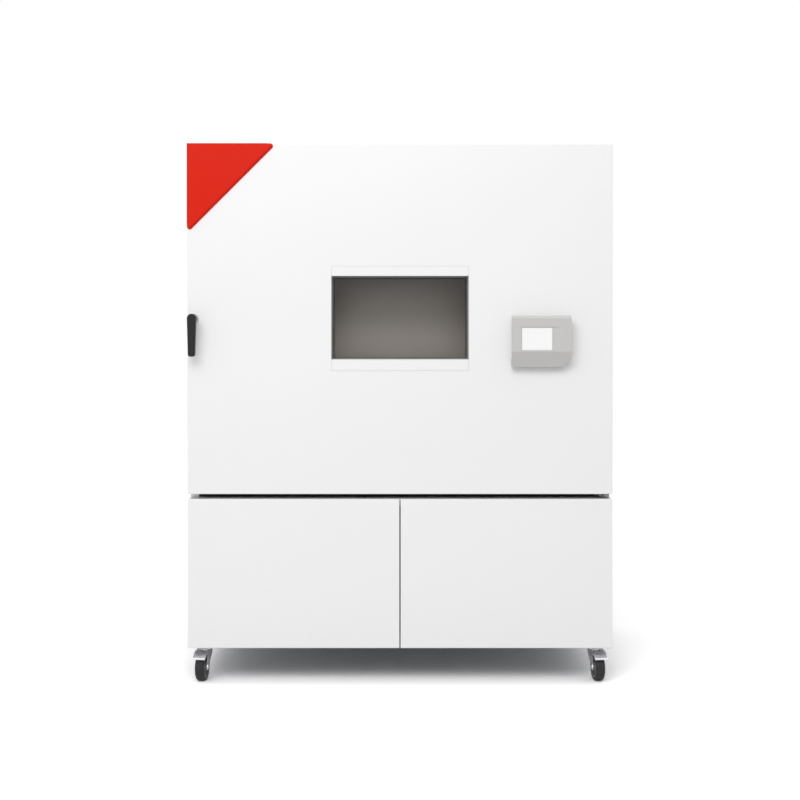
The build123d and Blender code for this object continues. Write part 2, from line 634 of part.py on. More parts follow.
def shelf_rails():
    """Four slotted uprights and two runners that the shelf lies on."""
    middle = (PLUG_BACK_Y + BAFFLE_Y) / 2
    spread = SHELF_DEPTH / 2 - UPRIGHT_WIDTH
    pieces = []
    for side in (-1, 1):
        inner = side * (CHAMBER_X - SEAT - UPRIGHT_DEPTH)
        rail_y = (middle - SHELF_DEPTH / 2, middle + SHELF_DEPTH / 2)
        runner = block(sorted((inner, inner - side * SHEET)), rail_y, (SHELF_Z - RUNNER, SHELF_Z))
        runner += block(sorted((inner, inner - side * RUNNER)), rail_y, (SHELF_Z - RUNNER, SHELF_Z - RUNNER + SHEET))
        pieces += [upright(side, middle - spread), upright(side, middle + spread), runner]
    return pieces


def shelf():
    """Welded wire shelf: a flat-bar rim with round wires let into it."""
    middle = (PLUG_BACK_Y + BAFFLE_Y) / 2
    half = CHAMBER_X - 2 * SEAT - UPRIGHT_DEPTH - SHEET - 1.0
    bar = 8.0
    z = (SHELF_Z - RUNNER + SHEET + SEAT, SHELF_Z - RUNNER + SHEET + SEAT + bar)
    y = (middle - SHELF_DEPTH / 2, middle + SHELF_DEPTH / 2)
    rack = block((-half, half), y, z)
    rack -= block((-half + bar, half - bar), (y[0] + bar, y[1] - bar), (z[0] - 1.0, z[1] + 1.0))
    pitch = (2 * half - bar) / (WIRE_COUNT + 1)
    for index in range(WIRE_COUNT):
        x = -half + bar / 2 + (index + 1) * pitch
        rack += rod((x, y[0] + bar / 2, (z[0] + z[1]) / 2), (x, y[1] - bar / 2, (z[0] + z[1]) / 2), WIRE_RADIUS)
    rack += block((-half + bar / 2, half - bar / 2), about(middle, bar), (z[0], (z[0] + z[1]) / 2))
    return rack


def port_plug():
    """Silicone plug that closes the access port, with a round head outside."""
    inner_end = -CHAMBER_X - LINER
    head = -HALF_WIDTH - PORT_RIM / 2 - SEAT
    stopper = rod((inner_end, PORT_Y, PORT_Z), (head, PORT_Y, PORT_Z), PORT_RADIUS - SEAT)
    cap = rod((head, PORT_Y, PORT_Z), (-HALF_WIDTH - SIDE_PROUD, PORT_Y, PORT_Z), PLUG_HEAD_RADIUS)
    cap = chamfer(cap.edges().sort_by(Axis.X)[0], 5.0)
    grip = about(-HALF_WIDTH - SIDE_PROUD, PLUG_HEAD)
    for side in (-1, 1):
        cap -= block(grip, about(PORT_Y + side * PLUG_HEAD_RADIUS / 2, PLUG_HEAD_RADIUS / 3), about(PORT_Z, PLUG_HEAD_RADIUS))
    return stopper + cap


# Cooling machinery in the lower housing


def compressor():
    """Hermetic compressor: a domed shell on a foot plate with four rubber mounts."""
    base = FLOOR_Z + COMPRESSOR_FOOT
    plate = COMPRESSOR_PLATE
    r, top = COMPRESSOR_RADIUS, base + plate + COMPRESSOR_HEIGHT
    dome = 40.0
    with BuildSketch(Plane.XZ) as outline:
        with BuildLine():
            Polyline((0, base + plate), (r - 8.0, base + plate), (r, base + plate + 20.0), (r, top - dome))
            ThreePointArc((r, top - dome), (r * 0.78, top - dome * 0.35), (r * 0.3, top))
            Polyline((r * 0.3, top), (0, top), (0, base + plate))
        make_face()
    shell = revolve(outline.sketch, axis=Axis.Z)
    half = r + 12.0
    shell += block((-half, half), (-half, half), (base, base + plate))
    for x in (-1, 1):
        for y in (-1, 1):
            at = (x * (half - 14.0), y * (half - 14.0))
            shell += rod((*at, FLOOR_Z), (*at, base + 1.0), 11.0)
    shell += block((r - 6.0, r + TERMINAL_DEPTH), about(0, TERMINAL_WIDTH), about(base + COMPRESSOR_HEIGHT / 2, TERMINAL_HEIGHT))
    return Pos(COMPRESSOR_X, COMPRESSOR_Y, 0) * shell


def condenser():
    """Finned condenser block behind the rear louvres."""
    y = (CONDENSER_FRONT_Y, CONDENSER_FRONT_Y + CONDENSER_DEPTH)
    z = (FLOOR_Z, CONDENSER_Z + CONDENSER_HEIGHT)
    span = about(CONDENSER_X, CONDENSER_WIDTH)
    coil = block(span, y, z)
    pitch = CONDENSER_WIDTH / FIN_COUNT
    for index in range(FIN_COUNT):
        x = span[0] + (index + 0.5) * pitch
        groove = (y[1] - CONDENSER_DEPTH / 3, y[1] + 1.0)
        coil -= block(about(x, pitch * 0.7), groove, (CONDENSER_Z, z[1] - CONDENSER_RAISE))
    return coil


def fan_shroud():
    """Square shroud in front of the condenser, with a round throat and the fan's motor on three arms."""
    x = about(CONDENSER_X, CONDENSER_WIDTH)
    z = (FLOOR_Z, CONDENSER_Z + CONDENSER_HEIGHT)
    middle = CONDENSER_MIDDLE_Z
    shroud = block(x, (SHROUD_Y, CONDENSER_FRONT_Y), z)
    inside = (SHROUD_Y + SHEET, CONDENSER_FRONT_Y + 1.0)
    shroud -= block((x[0] + SHEET, x[1] - SHEET), inside, (z[0] + SHEET, z[1] - SHEET))
    throat = CONDENSER_FAN_RADIUS + THROAT_GAP
    lip = SHROUD_Y - THROAT_DEPTH
    shroud += rod((CONDENSER_X, lip, middle), (CONDENSER_X, SHROUD_Y + SHEET, middle), throat + SHEET)
    shroud -= rod((CONDENSER_X, lip - 1.0, middle), (CONDENSER_X, SHROUD_Y + 2 * SHEET, middle), throat)
    face = SHROUD_Y + HUB_SET - BLADE_CHORD / 2 * BLADE_RISE + HUB_LENGTH / 2 - DRIVE_GAP
    for angle in (90, 210, 330):
        arm = block((DRIVE_RADIUS / 2, throat + SHEET), (lip, face), about(0, DRIVE_ARM))
        shroud += Pos(CONDENSER_X, 0, middle) * Rot(0, angle, 0) * arm
    shroud += rod((CONDENSER_X, face - DRIVE_LENGTH, middle), (CONDENSER_X, face, middle), DRIVE_RADIUS)
    shaft_end = SHROUD_Y + HUB_SET + HUB_LENGTH + 2.0
    return shroud + rod((CONDENSER_X, face - 1.0, middle), (CONDENSER_X, shaft_end, middle), SHAFT_RADIUS)


def condenser_fan():
    """Axial fan of pitched blades on the shroud motor's shaft."""
    hub_y = (SHROUD_Y + HUB_SET, SHROUD_Y + HUB_SET + HUB_LENGTH)
    fan = rod((0, hub_y[0], 0), (0, hub_y[1], 0), HUB_RADIUS)
    blade = block(about(0, BLADE_CHORD), about(0, BLADE_THICK), (HUB_RADIUS - 4.0, CONDENSER_FAN_RADIUS))
    blade = Pos(0, (hub_y[0] + hub_y[1]) / 2, 0) * Rot(0, 0, BLADE_ANGLE) * blade
    for index in range(BLADE_COUNT):
        fan += Rot(0, index * 360.0 / BLADE_COUNT, 0) * blade
    reach = (hub_y[0] - BLADE_CHORD, hub_y[1] + BLADE_CHORD)
    fan &= rod((0, reach[0], 0), (0, reach[1], 0), CONDENSER_FAN_RADIUS)
    fan -= rod((0, reach[0], 0), (0, reach[1], 0), SHAFT_RADIUS + RUNNING)
    return Pos(CONDENSER_X, 0, CONDENSER_MIDDLE_Z) * fan


def electrical_box():
    """Switchgear box with a raised lid, standing on the bay's floor."""
    y = (HOUSING_Y + BOX_SET, HOUSING_Y + BOX_SET + BOX_DEPTH)
    x = about(BOX_X, BOX_WIDTH)
    z = (FLOOR_Z, FLOOR_Z + BOX_HEIGHT)
    case = block(x, y, z)
    lid = ((x[0] + BOX_MARGIN, x[1] - BOX_MARGIN), (y[0] - BOX_LID, y[0]), (z[0] + BOX_MARGIN, z[1] - BOX_MARGIN))
    case += block(*lid)
    middle = (y[0] + y[1]) / 2
    for index in range(BOX_GLANDS):
        at = x[0] + (index + 1) * BOX_WIDTH / (BOX_GLANDS + 3)
        case += rod((at, middle, z[1]), (at, middle, z[1] + BOX_GLAND), BOX_GLAND_RADIUS)
    return case


def refrigerant_pipes():
    """Suction and liquid pipes from the compressor up through the deck to the coil."""
    start_z = FLOOR_Z + COMPRESSOR_FOOT + COMPRESSOR_PLATE + PIPE_RAISE
    pipes = []
    for index, x in enumerate(PIPE_X):
        z = start_z + index * PIPE_PITCH
        from_y = COMPRESSOR_Y + COMPRESSOR_RADIUS
        from_x = COMPRESSOR_X - PIPE_LEFT + index * PIPE_STEP
        nearest = abs(from_x - COMPRESSOR_X) - PIPE_RADIUS
        inset = COMPRESSOR_RADIUS - (COMPRESSOR_RADIUS**2 - nearest**2) ** 0.5
        route = [(from_x, from_y - inset + SEAT, z), (from_x, from_y + PIPE_RUN, z), (x, PIPE_Y, z + PIPE_RISE),
                 (x, PIPE_Y, COIL_Z)]
        path = FilletPolyline(*route, radius=PIPE_BEND)
        pipe = sweep(Plane(origin=path @ 0, z_dir=path % 0) * Circle(PIPE_RADIUS), path=path)
        pipes.append(pipe)
    return pipes


# Door


def door_skin():
    """Folded front tray of the door, cut for the window unit, the spindle and the pivots."""
    skin = pan((-HALF_WIDTH, HALF_WIDTH), (FACE_Y, DOOR_BACK_Y), (DOOR_Z, TOP_Z))
    x = WINDOW_X + TRIM_JOINT / 2
    z = (UNIT_Z - TRIM_JOINT, UNIT_TOP + TRIM_JOINT)
    skin -= block((-x, x), about(FACE_Y, 4 * SHEET), z)
    skin -= rod((LATCH_X, FACE_Y - 1.0, LATCH_Z), (LATCH_X, FACE_Y + 2 * SHEET, LATCH_Z), SPINDLE_RADIUS + RUNNING)
    skin -= rod((PIVOT_X, PIVOT_Y, DOOR_Z - 1.0), (PIVOT_X, PIVOT_Y, DOOR_Z + 2 * SHEET), PIVOT_RADIUS + SEAT)
    return skin - pivot_notch()


def pivot_notch():
    """Room for the upper pivot bracket behind the door's face, open at the top, right and rear."""
    left = PIVOT_X - BRACKET_REACH
    return block((left, HALF_WIDTH + 1.0), (FACE_Y + 2 * SHEET, DOOR_BACK_Y + 1.0), (TOP_Z - PIVOT_NOTCH, TOP_Z + 1.0))


def pivot_block_spans():
    """The z spans of the lower and upper pivot blocks inside the door."""
    low = (DOOR_Z + SHEET + DOOR_REVEAL, DOOR_Z + SHEET + DOOR_REVEAL + PIVOT_LENGTH)
    high = (TOP_Z - PIVOT_NOTCH - PIVOT_LENGTH, TOP_Z - PIVOT_NOTCH)
    return low, high


def door_pivot_blocks():
    """Steel blocks in the door that turn on the pivot pins."""
    pieces = []
    for z in pivot_block_spans():
        piece = block(about(PIVOT_X, PIVOT_BLOCK), about(PIVOT_Y, PIVOT_BLOCK), z)
        pieces.append(piece - rod((PIVOT_X, PIVOT_Y, z[0] - 1.0), (PIVOT_X, PIVOT_Y, z[1] + 1.0), PIVOT_RADIUS + RUNNING))
    return pieces


def plug_span(inset):
    """The x and z spans of the door's inner step, taken in by inset."""
    half = CHAMBER_X - PLUG_MARGIN - inset
    return (-half, half), (CHAMBER_Z + PLUG_MARGIN + inset, CHAMBER_TOP - PLUG_MARGIN - inset)


def window_span(grow):
    """The x and z spans of the window opening, grown all round."""
    return (-WINDOW_X - grow, WINDOW_X + grow), (WINDOW_Z - grow, WINDOW_TOP + grow)


def door_liner():
    """Stainless back of the door: a flat rim and the step that enters the chamber."""
    x, z = HALF_WIDTH - SHEET - DOOR_REVEAL, (DOOR_Z + SHEET + DOOR_REVEAL, TOP_Z - SHEET - DOOR_REVEAL)
    panel = block((-x, x), (DOOR_BACK_Y - SHEET, DOOR_BACK_Y), z)
    step_x, step_z = plug_span(0)
    step = block(step_x, (DOOR_BACK_Y, PLUG_BACK_Y), step_z)
    step = fillet(step.faces().sort_by(Axis.Y)[-1].edges(), 8.0)
    panel += step
    inner_x, inner_z = plug_span(SHEET)
    panel -= block(inner_x, (DOOR_BACK_Y - 2 * SHEET, PLUG_BACK_Y - SHEET), inner_z)
    cut_x, cut_z = window_span(WINDOW_WALL + SEAT)
    panel -= block(cut_x, (DOOR_BACK_Y, PLUG_BACK_Y + 1.0), cut_z)
    panel -= rod((LATCH_X, DOOR_BACK_Y - 5.0, LATCH_Z), (LATCH_X, DOOR_BACK_Y + 1.0, LATCH_Z), SPINDLE_RADIUS + RUNNING)
    return panel - pivot_notch()


def door_core():
    """Insulation that fills the door between its skin and its liner."""
    x, z = HALF_WIDTH - SHEET - DOOR_REVEAL, (DOOR_Z + SHEET + DOOR_REVEAL, TOP_Z - SHEET - DOOR_REVEAL)
    inside = FACE_Y + SHEET + DOOR_REVEAL
    core = block((-x, x), (inside, DOOR_BACK_Y - SHEET - DOOR_REVEAL), z)
    step_x, step_z = plug_span(SHEET + DOOR_REVEAL)
    core += block(step_x, (DOOR_BACK_Y - 2 * SHEET, PLUG_BACK_Y - SHEET - DOOR_REVEAL), step_z)
    cut_x, cut_z = window_span(WINDOW_WALL + DOOR_REVEAL)
    core -= block(cut_x, (FACE_Y, PLUG_BACK_Y), cut_z)
    unit_z = (UNIT_Z - WINDOW_WALL - DOOR_REVEAL, UNIT_TOP + WINDOW_WALL + DOOR_REVEAL)
    core -= block(cut_x, (FACE_Y, FACE_Y + TRIM + 3 * SEAT + LINER), unit_z)
    core -= rod((LATCH_X, FACE_Y, LATCH_Z), (LATCH_X, DOOR_BACK_Y, LATCH_Z), SPINDLE_RADIUS + SEAT)
    reach = PIVOT_BLOCK + 2 * DOOR_REVEAL
    for span in pivot_block_spans():
        core -= block((PIVOT_X - reach / 2, HALF_WIDTH), about(PIVOT_Y, reach), (span[0] - 1.0, span[1] + DOOR_REVEAL))
    return core - pivot_notch()


def window_frame():
    """Tunnel through the door: front plate behind the trims, four walls and an inner flange."""
    outer_x, outer_z = window_span(WINDOW_WALL)
    inner_x, inner_z = window_span(0)
    front = FACE_Y + TRIM + SEAT
    frame = block(outer_x, (front, PLUG_BACK_Y + LINER), outer_z)
    frame += block(outer_x, (front, front + LINER), (UNIT_Z - WINDOW_WALL, UNIT_TOP + WINDOW_WALL))
    lip_x, lip_z = window_span(WINDOW_WALL + 14.0)
    frame += block(lip_x, (PLUG_BACK_Y + SEAT, PLUG_BACK_Y + LINER), lip_z)
    return frame - block(inner_x, (front - 1.0, PLUG_BACK_Y + LINER + 1.0), inner_z)


def window_trims():
    """White cover strips over and under the glass, flush with the door's face."""
    x = (-WINDOW_X + TRIM_JOINT / 2, WINDOW_X - TRIM_JOINT / 2)
    y = (FACE_Y, FACE_Y + TRIM)
    pieces = []
    for z in ((WINDOW_TOP, UNIT_TOP), (UNIT_Z, WINDOW_Z)):
        strip = block(x, y, z)
        pieces.append(chamfer(strip.faces().sort_by(Axis.Y)[0].edges(), 0.6))
    return pieces


def window_pane(front):
    """A glass pane seated in the tunnel, from its front face."""
    x, z = window_span(-SEAT)
    return block(x, (front, front + PANE), z)


def door_gasket():
    """Soft seal round the step, shaped as a rounded tube on a flat foot."""
    inner_x = CHAMBER_X + LINER + 3.0
    inner_z = (CHAMBER_Z - LINER - 3.0, CHAMBER_TOP + LINER + 3.0)
    y = (DOOR_BACK_Y, BODY_Y - SEAT)
    seal = block((-inner_x - GASKET_WIDTH, inner_x + GASKET_WIDTH), y, (inner_z[0] - GASKET_WIDTH, inner_z[1] + GASKET_WIDTH))
    seal = fillet(seal.edges().filter_by(Axis.Y), GASKET_WIDTH + 6.0)
    seal = fillet(seal.faces().sort_by(Axis.Y)[-1].edges(), 5.0)
    mouth = block((-inner_x, inner_x), (y[0] - 1.0, y[1] + 1.0), inner_z)
    return seal - fillet(mouth.edges().filter_by(Axis.Y), 6.0)


def corner_plate():
    """Triangular plate on the door's upper left corner, wrapped a little over its top and side."""
    wrap = CORNER_WRAP + SEAT
    left, top = -HALF_WIDTH - wrap, TOP_Z + wrap
    leg = CORNER_LEG + wrap
    triangle = Polygon((left, top), (left, top - leg), (left + leg, top), align=None)
    triangle = fillet(triangle.vertices().sort_by_distance((left, top, 0))[1:], CORNER_TIP)
    plate = profile_y(triangle, FACE_Y - SEAT - CORNER_PROUD, CORNER_PROUD)
    front = plate.faces().sort_by(Axis.Y)[0]
    slope = [edge for edge in front.edges() if edge.center().X > left + 0.1 and edge.center().Z < top - 0.1]
    plate = chamfer(slope, CORNER_BEVEL)
    y = (FACE_Y - SEAT - CORNER_PROUD / 2, FACE_Y + CORNER_SIDE)
    shorten = CORNER_SIDE * 1.5
    plate += block((left, left + CORNER_WRAP), y, (top - leg + shorten, top))
    return plate + block((left, left + leg - shorten), y, (top - CORNER_WRAP, top))


# Latch


def handle_rosette():
    """Round boss that carries the lever on the door's face."""
    disc = rod((LATCH_X, FACE_Y, LATCH_Z), (LATCH_X, FACE_Y - ROSETTE, LATCH_Z), ROSETTE_RADIUS)
    disc = chamfer(disc.faces().sort_by(Axis.Y)[0].edges(), 2.5)
    return disc - rod((LATCH_X, FACE_Y + 1.0, LATCH_Z), (LATCH_X, FACE_Y - ROSETTE - 1.0, LATCH_Z), SPINDLE_RADIUS + RUNNING)


def door_handle():
    """Lever that hangs from its hub, tapers to its tip and has soft edges."""
    tip = LEVER_TIP_WIDTH / 2
    low = LEVER_TOP_RADIUS - LEVER_LENGTH
    with BuildSketch() as outline:
        with BuildLine():
            r = LEVER_TOP_RADIUS
            ThreePointArc((-r, 0), (0, r), (r, 0))
            Line((r, 0), (tip, low + 9.0))
            ThreePointArc((tip, low + 9.0), (tip - 2.6, low + 2.6), (tip - 9.0, low))
            Line((tip - 9.0, low), (9.0 - tip, low))
            ThreePointArc((9.0 - tip, low), (2.6 - tip, low + 2.6), (-tip, low + 9.0))
            Line((-tip, low + 9.0), (-r, 0))
        make_face()
    front = FACE_Y - FRONT_PROUD
    plane = Plane(origin=(LATCH_X, front, LATCH_Z), x_dir=(1, 0, 0), z_dir=(0, -1, 0))
    lever = extrude(plane * outline.sketch, amount=-LEVER_THICK)
    lever = fillet(lever.faces().sort_by(Axis.Y)[0].edges(), 5.0)
    lever = fillet(lever.faces().sort_by(Axis.Y)[-1].edges(), 3.0)
    hub = rod((LATCH_X, front + LEVER_THICK - 1.0, LATCH_Z), (LATCH_X, FACE_Y - ROSETTE - SEAT, LATCH_Z), LEVER_TOP_RADIUS - 3.0)
    square = SPINDLE_RADIUS * 1.3
    socket = (FACE_Y - ROSETTE - 24.0 - SEAT, FACE_Y - ROSETTE + 1.0)
    return lever + hub - block(about(LATCH_X, square + 0.4), socket, about(LATCH_Z, square + 0.4))


def cam_span():
    """The y span of the latch cam in the gap behind the door."""
    back = BODY_Y - KEEPER_PLATE - 0.5
    return back - CAM_THICK, back


def latch_cam():
    """Spindle through the door, with a square for the lever and a cam arm that hangs from its inner end."""
    y = cam_span()
    spindle = rod((LATCH_X, FACE_Y - ROSETTE, LATCH_Z), (LATCH_X, y[1], LATCH_Z), SPINDLE_RADIUS)
    square = SPINDLE_RADIUS * 1.3
    spindle += block(about(LATCH_X, square), (FACE_Y - ROSETTE - 24.0, FACE_Y - ROSETTE), about(LATCH_Z, square))
    tip = LATCH_Z - CAM_LENGTH
    arm = block(about(LATCH_X, CAM_WIDTH), y, (tip, LATCH_Z))
    arm += rod((LATCH_X, y[0], tip), (LATCH_X, y[1], tip), CAM_WIDTH / 2)
    arm += rod((LATCH_X, y[0], LATCH_Z), (LATCH_X, y[1], LATCH_Z), CAM_WIDTH * 0.8)
    return spindle + arm


def latch_keeper():
    """Keeper on the face frame, with a lip that the cam arm passes behind when the lever is turned level."""
    arm_front, arm_back = cam_span()
    tip = LATCH_X + CAM_LENGTH + CAM_WIDTH / 2
    height = CAM_WIDTH + 22.0
    plate = block((tip - 34.0, tip + 22.0), (BODY_Y - KEEPER_PLATE, BODY_Y), about(LATCH_Z, height))
    lip_y = (arm_front - 0.5 - KEEPER_LIP, arm_front - 0.5)
    plate += block((tip - 12.0, tip + 5.0), lip_y, about(LATCH_Z, CAM_WIDTH + 6.0))
    plate += block((tip + 1.0, tip + 5.0), (lip_y[0], BODY_Y), about(LATCH_Z, CAM_WIDTH + 6.0))
    return plate


def hinge_brackets():
    """Lower and upper pivot brackets on the face frame, each with its pin."""
    low = DECK_Z + BRACKET_RISE
    high = TOP_Z - BRACKET_SINK
    blocks = pivot_block_spans()
    edge = HALF_WIDTH - BRACKET_EDGE
    pieces = []
    for z, pin_end, up in (((low, low + BRACKET), blocks[0][1], True), ((high - BRACKET, high), blocks[1][0], False)):
        arm = block((PIVOT_X - BRACKET_ARM, PIVOT_X), (PIVOT_Y, BODY_Y), z)
        arm += block((PIVOT_X - BRACKET_ARM, edge), (PIVOT_Y + BRACKET_EYE, BODY_Y), z)
        arm += rod((PIVOT_X, PIVOT_Y, z[0]), (PIVOT_X, PIVOT_Y, z[1]), BRACKET_EYE)
        tab = (z[0], z[0] + BRACKET_TAB_HEIGHT) if up else (z[1] - BRACKET_TAB_HEIGHT, z[1])
        arm += block((PIVOT_X - BRACKET_TAB_WIDTH, edge), (BODY_Y - BRACKET_TAB, BODY_Y), tab)
        arm += rod((PIVOT_X, PIVOT_Y, (z[0] + z[1]) / 2), (PIVOT_X, PIVOT_Y, pin_end), PIVOT_RADIUS)
        pieces.append(arm)
    return pieces


# Controller


def control_x(offset):
    """An x place measured from the controller's left edge."""
    return CONTROL_X - CONTROL_WIDTH / 2 + offset


def control_z(offset):
    """A z place measured from the controller's lower edge."""
    return DOOR_Z + CONTROL_BASE + offset


def controller_housing():
    """Back shell of the controller, against the door."""
    x = (control_x(7.0), control_x(CONTROL_WIDTH - 7.0))
    z = (control_z(CHIN_CORNER + 2.0), control_z(CONTROL_HEIGHT - 7.0))
    shell = block(x, (FACE_Y - CONTROL_SHELL, FACE_Y), z)
    return fillet(shell.edges().filter_by(Axis.Y), 6.0)


def controller_bezel():
    """Front of the controller: an upright face over a chin that falls back, with one lower corner cut off."""
    face = FACE_Y - CONTROL_PROUD
    back = FACE_Y - CONTROL_SHELL
    side = [(back, control_z(CONTROL_HEIGHT)), (face + CONTROL_BROW, control_z(CONTROL_HEIGHT)),
            (face, control_z(CONTROL_HEIGHT - CONTROL_BROW)), (face, control_z(CHIN_HEIGHT)),
            (face + CHIN_SET_BACK, control_z(0)), (FACE_Y - 12.0, control_z(0)),
            (FACE_Y - 12.0, control_z(CHIN_CORNER)), (back, control_z(CHIN_CORNER))]
    bezel = profile_x(side, control_x(0), CONTROL_WIDTH)
    bezel = fillet(bezel.edges().filter_by(Axis.X).sort_by_distance((CONTROL_X, face, control_z(CHIN_HEIGHT)))[0], CHIN_ROUND)
    right, cut = control_x(CONTROL_WIDTH), CHIN_CORNER
    corner = [(right - cut, control_z(0) - 1.0), (right + 1.0, control_z(0) - 1.0), (right + 1.0, control_z(cut))]
    bezel -= profile_y(Polygon(*corner, align=None), face - 1.0, CONTROL_PROUD)
    screen_x = (control_x(SCREEN_LEFT), control_x(SCREEN_LEFT + SCREEN_WIDTH))
    screen_z = (control_z(SCREEN_BASE), control_z(SCREEN_BASE + SCREEN_HEIGHT))
    scoop = [(screen_x[0], face - 1.0), (screen_x[0], face + SCREEN_SINK), (screen_x[1], face + SCREEN_SINK),
             (screen_x[1] + SCREEN_RAMP, face), (screen_x[1] + SCREEN_RAMP, face - 1.0)]
    bezel -= profile_z(scoop, screen_z[0], SCREEN_HEIGHT)
    return bezel - block(screen_x, (face, face + SCREEN_SINK + 4.0), screen_z)


def touch_screen():
    """Display glass in its seat in the bezel."""
    face = FACE_Y - CONTROL_PROUD
    x = (control_x(SCREEN_LEFT) + SEAT, control_x(SCREEN_LEFT + SCREEN_WIDTH) - SEAT)
    z = (control_z(SCREEN_BASE) + SEAT, control_z(SCREEN_BASE + SCREEN_HEIGHT) - SEAT)
    return block(x, (face + SCREEN_SINK, face + SCREEN_SINK + 3.7), z)


# Service doors


def service_pin(side):
    """The x and y of a service door's hinge axis."""
    return side * (HALF_WIDTH - SERVICE_PIN_IN), FACE_Y + SERVICE_PIN_BACK


def service_arm_spans():
    """The z spans of the lower and upper hinge arms inside a service door."""
    low = FLOOR_GAP + SERVICE_ARM_DROP
    high = DECK_Z - SERVICE_ARM_DROP - SERVICE_ARM
    return (low, low + SERVICE_ARM), (high, high + SERVICE_ARM)


def service_door(side):
    """Folded door of the machine bay, hinged at its outer edge, with a stiffener inside."""
    x = sorted((side * HALF_WIDTH, side * SERVICE_SPLIT / 2))
    leaf = pan(x, (FACE_Y, SERVICE_BACK_Y), (FLOOR_GAP, DECK_Z))
    pin_x, pin_y = service_pin(side)
    leaf -= rod((pin_x, pin_y, FLOOR_GAP - 1.0), (pin_x, pin_y, DECK_Z + 1.0), SERVICE_PIN_RADIUS + RUNNING)
    edge = sorted((side * (HALF_WIDTH - 2 * SHEET), side * (HALF_WIDTH + 1.0)))
    for z in service_arm_spans():
        leaf -= block(edge, (FACE_Y + SHEET, SERVICE_BACK_Y + 1.0), (z[0] - 2.0, z[1] + 2.0))
    middle = side * (HALF_WIDTH + SERVICE_SPLIT / 2) / 2
    inside = FACE_Y + SHEET
    z = (FLOOR_GAP + SHEET, DECK_Z - SHEET)
    rib = block(about(middle, STIFFENER_WIDTH), (inside, inside + STIFFENER_DEPTH), z)
    rib -= block(about(middle, STIFFENER_WIDTH - 2 * SHEET), (inside, inside + STIFFENER_DEPTH - SHEET), z)
    return leaf + rib


def service_hinges():
    """Four hinge arms on the side panels' returns, each with a pin into a service door."""
    tab = 1.5
    pieces = []
    for side in (-1, 1):
        pin_x, pin_y = service_pin(side)
        low, high = service_arm_spans()
        for z, end in ((low, FLOOR_GAP + SEAT), (high, DECK_Z - SEAT)):
            arm = block(about(pin_x, 2 * SERVICE_NOSE), (pin_y, HOUSING_Y), z)
            arm += rod((pin_x, pin_y, z[0]), (pin_x, pin_y, z[1]), SERVICE_NOSE)
            arm += rod((pin_x, pin_y, (z[0] + z[1]) / 2), (pin_x, pin_y, end), SERVICE_PIN_RADIUS)
            span = (z[0], FLOOR_Z + 40.0) if z is low else (z[1] - 40.0, z[1])
            tab_x = sorted((side * (HALF_WIDTH - 2.0), side * (HALF_WIDTH - PANEL_RETURN)))
            arm += block(tab_x, (HOUSING_Y - tab, HOUSING_Y), span)
            pieces.append(arm)
    return pieces


# Rear fittings and main switch


def drain_outlet():
    """Hose spigot with a hexagon collar on the rear panel."""
    x, z = FITTING_X, FITTING_Z
    spigot = rod((x, REAR_Y - 20.0, z), (x, REAR_Y + REAR_PROUD, z), SPIGOT_RADIUS)
    spigot += profile_y(Pos(x, z) * RegularPolygon(16.0, 6), REAR_Y, REAR_PROUD - SPIGOT_LENGTH)
    return spigot - rod((x, REAR_Y - 21.0, z), (x, REAR_Y + REAR_PROUD + 1.0, z), SPIGOT_BORE)


def power_gland():
    """Cable gland for the mains lead: a hexagon body and a domed cap."""
    x, z = FITTING_X + FITTING_PITCH, FITTING_Z
    body = profile_y(Pos(x, z) * RegularPolygon(GLAND_RADIUS, 6), REAR_Y, 14.0)
    cap = rod((x, REAR_Y + 13.0, z), (x, REAR_Y + GLAND_LENGTH - 14.0, z), GLAND_RADIUS - 5.0)
    cap = chamfer(cap.faces().sort_by(Axis.Y)[-1].edges(), 4.0)
    body += cap
    body += rod((x, REAR_Y - 14.0, z), (x, REAR_Y + 1.0, z), GLAND_BORE + 5.0)
    return body - rod((x, REAR_Y - 15.0, z), (x, REAR_Y + GLAND_LENGTH, z), GLAND_BORE)


def rear_screws():
    """Panel screws round both rear panels."""
    edge = 14.0
    pieces = []
    for z_span in ((FLOOR_GAP, DECK_Z), (DECK_Z, TOP_Z)):
        rows = 3
        for row in range(rows):
            z = z_span[0] + edge + row * (z_span[1] - z_span[0] - 2 * edge) / (rows - 1)
            for x in (-HALF_WIDTH + edge, HALF_WIDTH - edge):
                pieces.append(rod((x, REAR_Y, z), (x, REAR_Y + SCREW_HEAD, z), SCREW_RADIUS))
    return pieces


def main_switch():
    """Rotary main switch: a round knob with a grip bar, on a shaft through the side panel."""
    wall = HALF_WIDTH
    knob = rod((wall + SEAT, SWITCH_Y, SWITCH_Z), (wall + SWITCH_PLATE, SWITCH_Y, SWITCH_Z), SWITCH_RADIUS)
    knob += rod((wall + 1.0, SWITCH_Y, SWITCH_Z), (wall + 12.0, SWITCH_Y, SWITCH_Z), SWITCH_RADIUS - 5.0)
    knob += block((wall + 1.0, wall + SIDE_PROUD), about(SWITCH_Y, 9.0), about(SWITCH_Z, 2 * SWITCH_RADIUS - 12.0))
    return knob + rod((wall - 22.0, SWITCH_Y, SWITCH_Z), (wall + 1.0, SWITCH_Y, SWITCH_Z), PIVOT_RADIUS)


# Casters, each drawn with its swivel axis on Z and the wheel trailing to the front


def caster_plate():
    """Mounting plate with the upper race and the king pin."""
    z = (CASTER_HEIGHT - PLATE, CASTER_HEIGHT)
    plate = fillet(block(about(0, PLATE_X), about(0, PLATE_Y), z).edges().filter_by(Axis.Z), 6.0)
    plate += rod((0, 0, z[0] - RACE), (0, 0, z[0]), RACE_RADIUS)
    return plate + rod((0, 0, z[0] - RACE - 2 * FORK_SHEET), (0, 0, z[0]), KING_PIN_RADIUS)


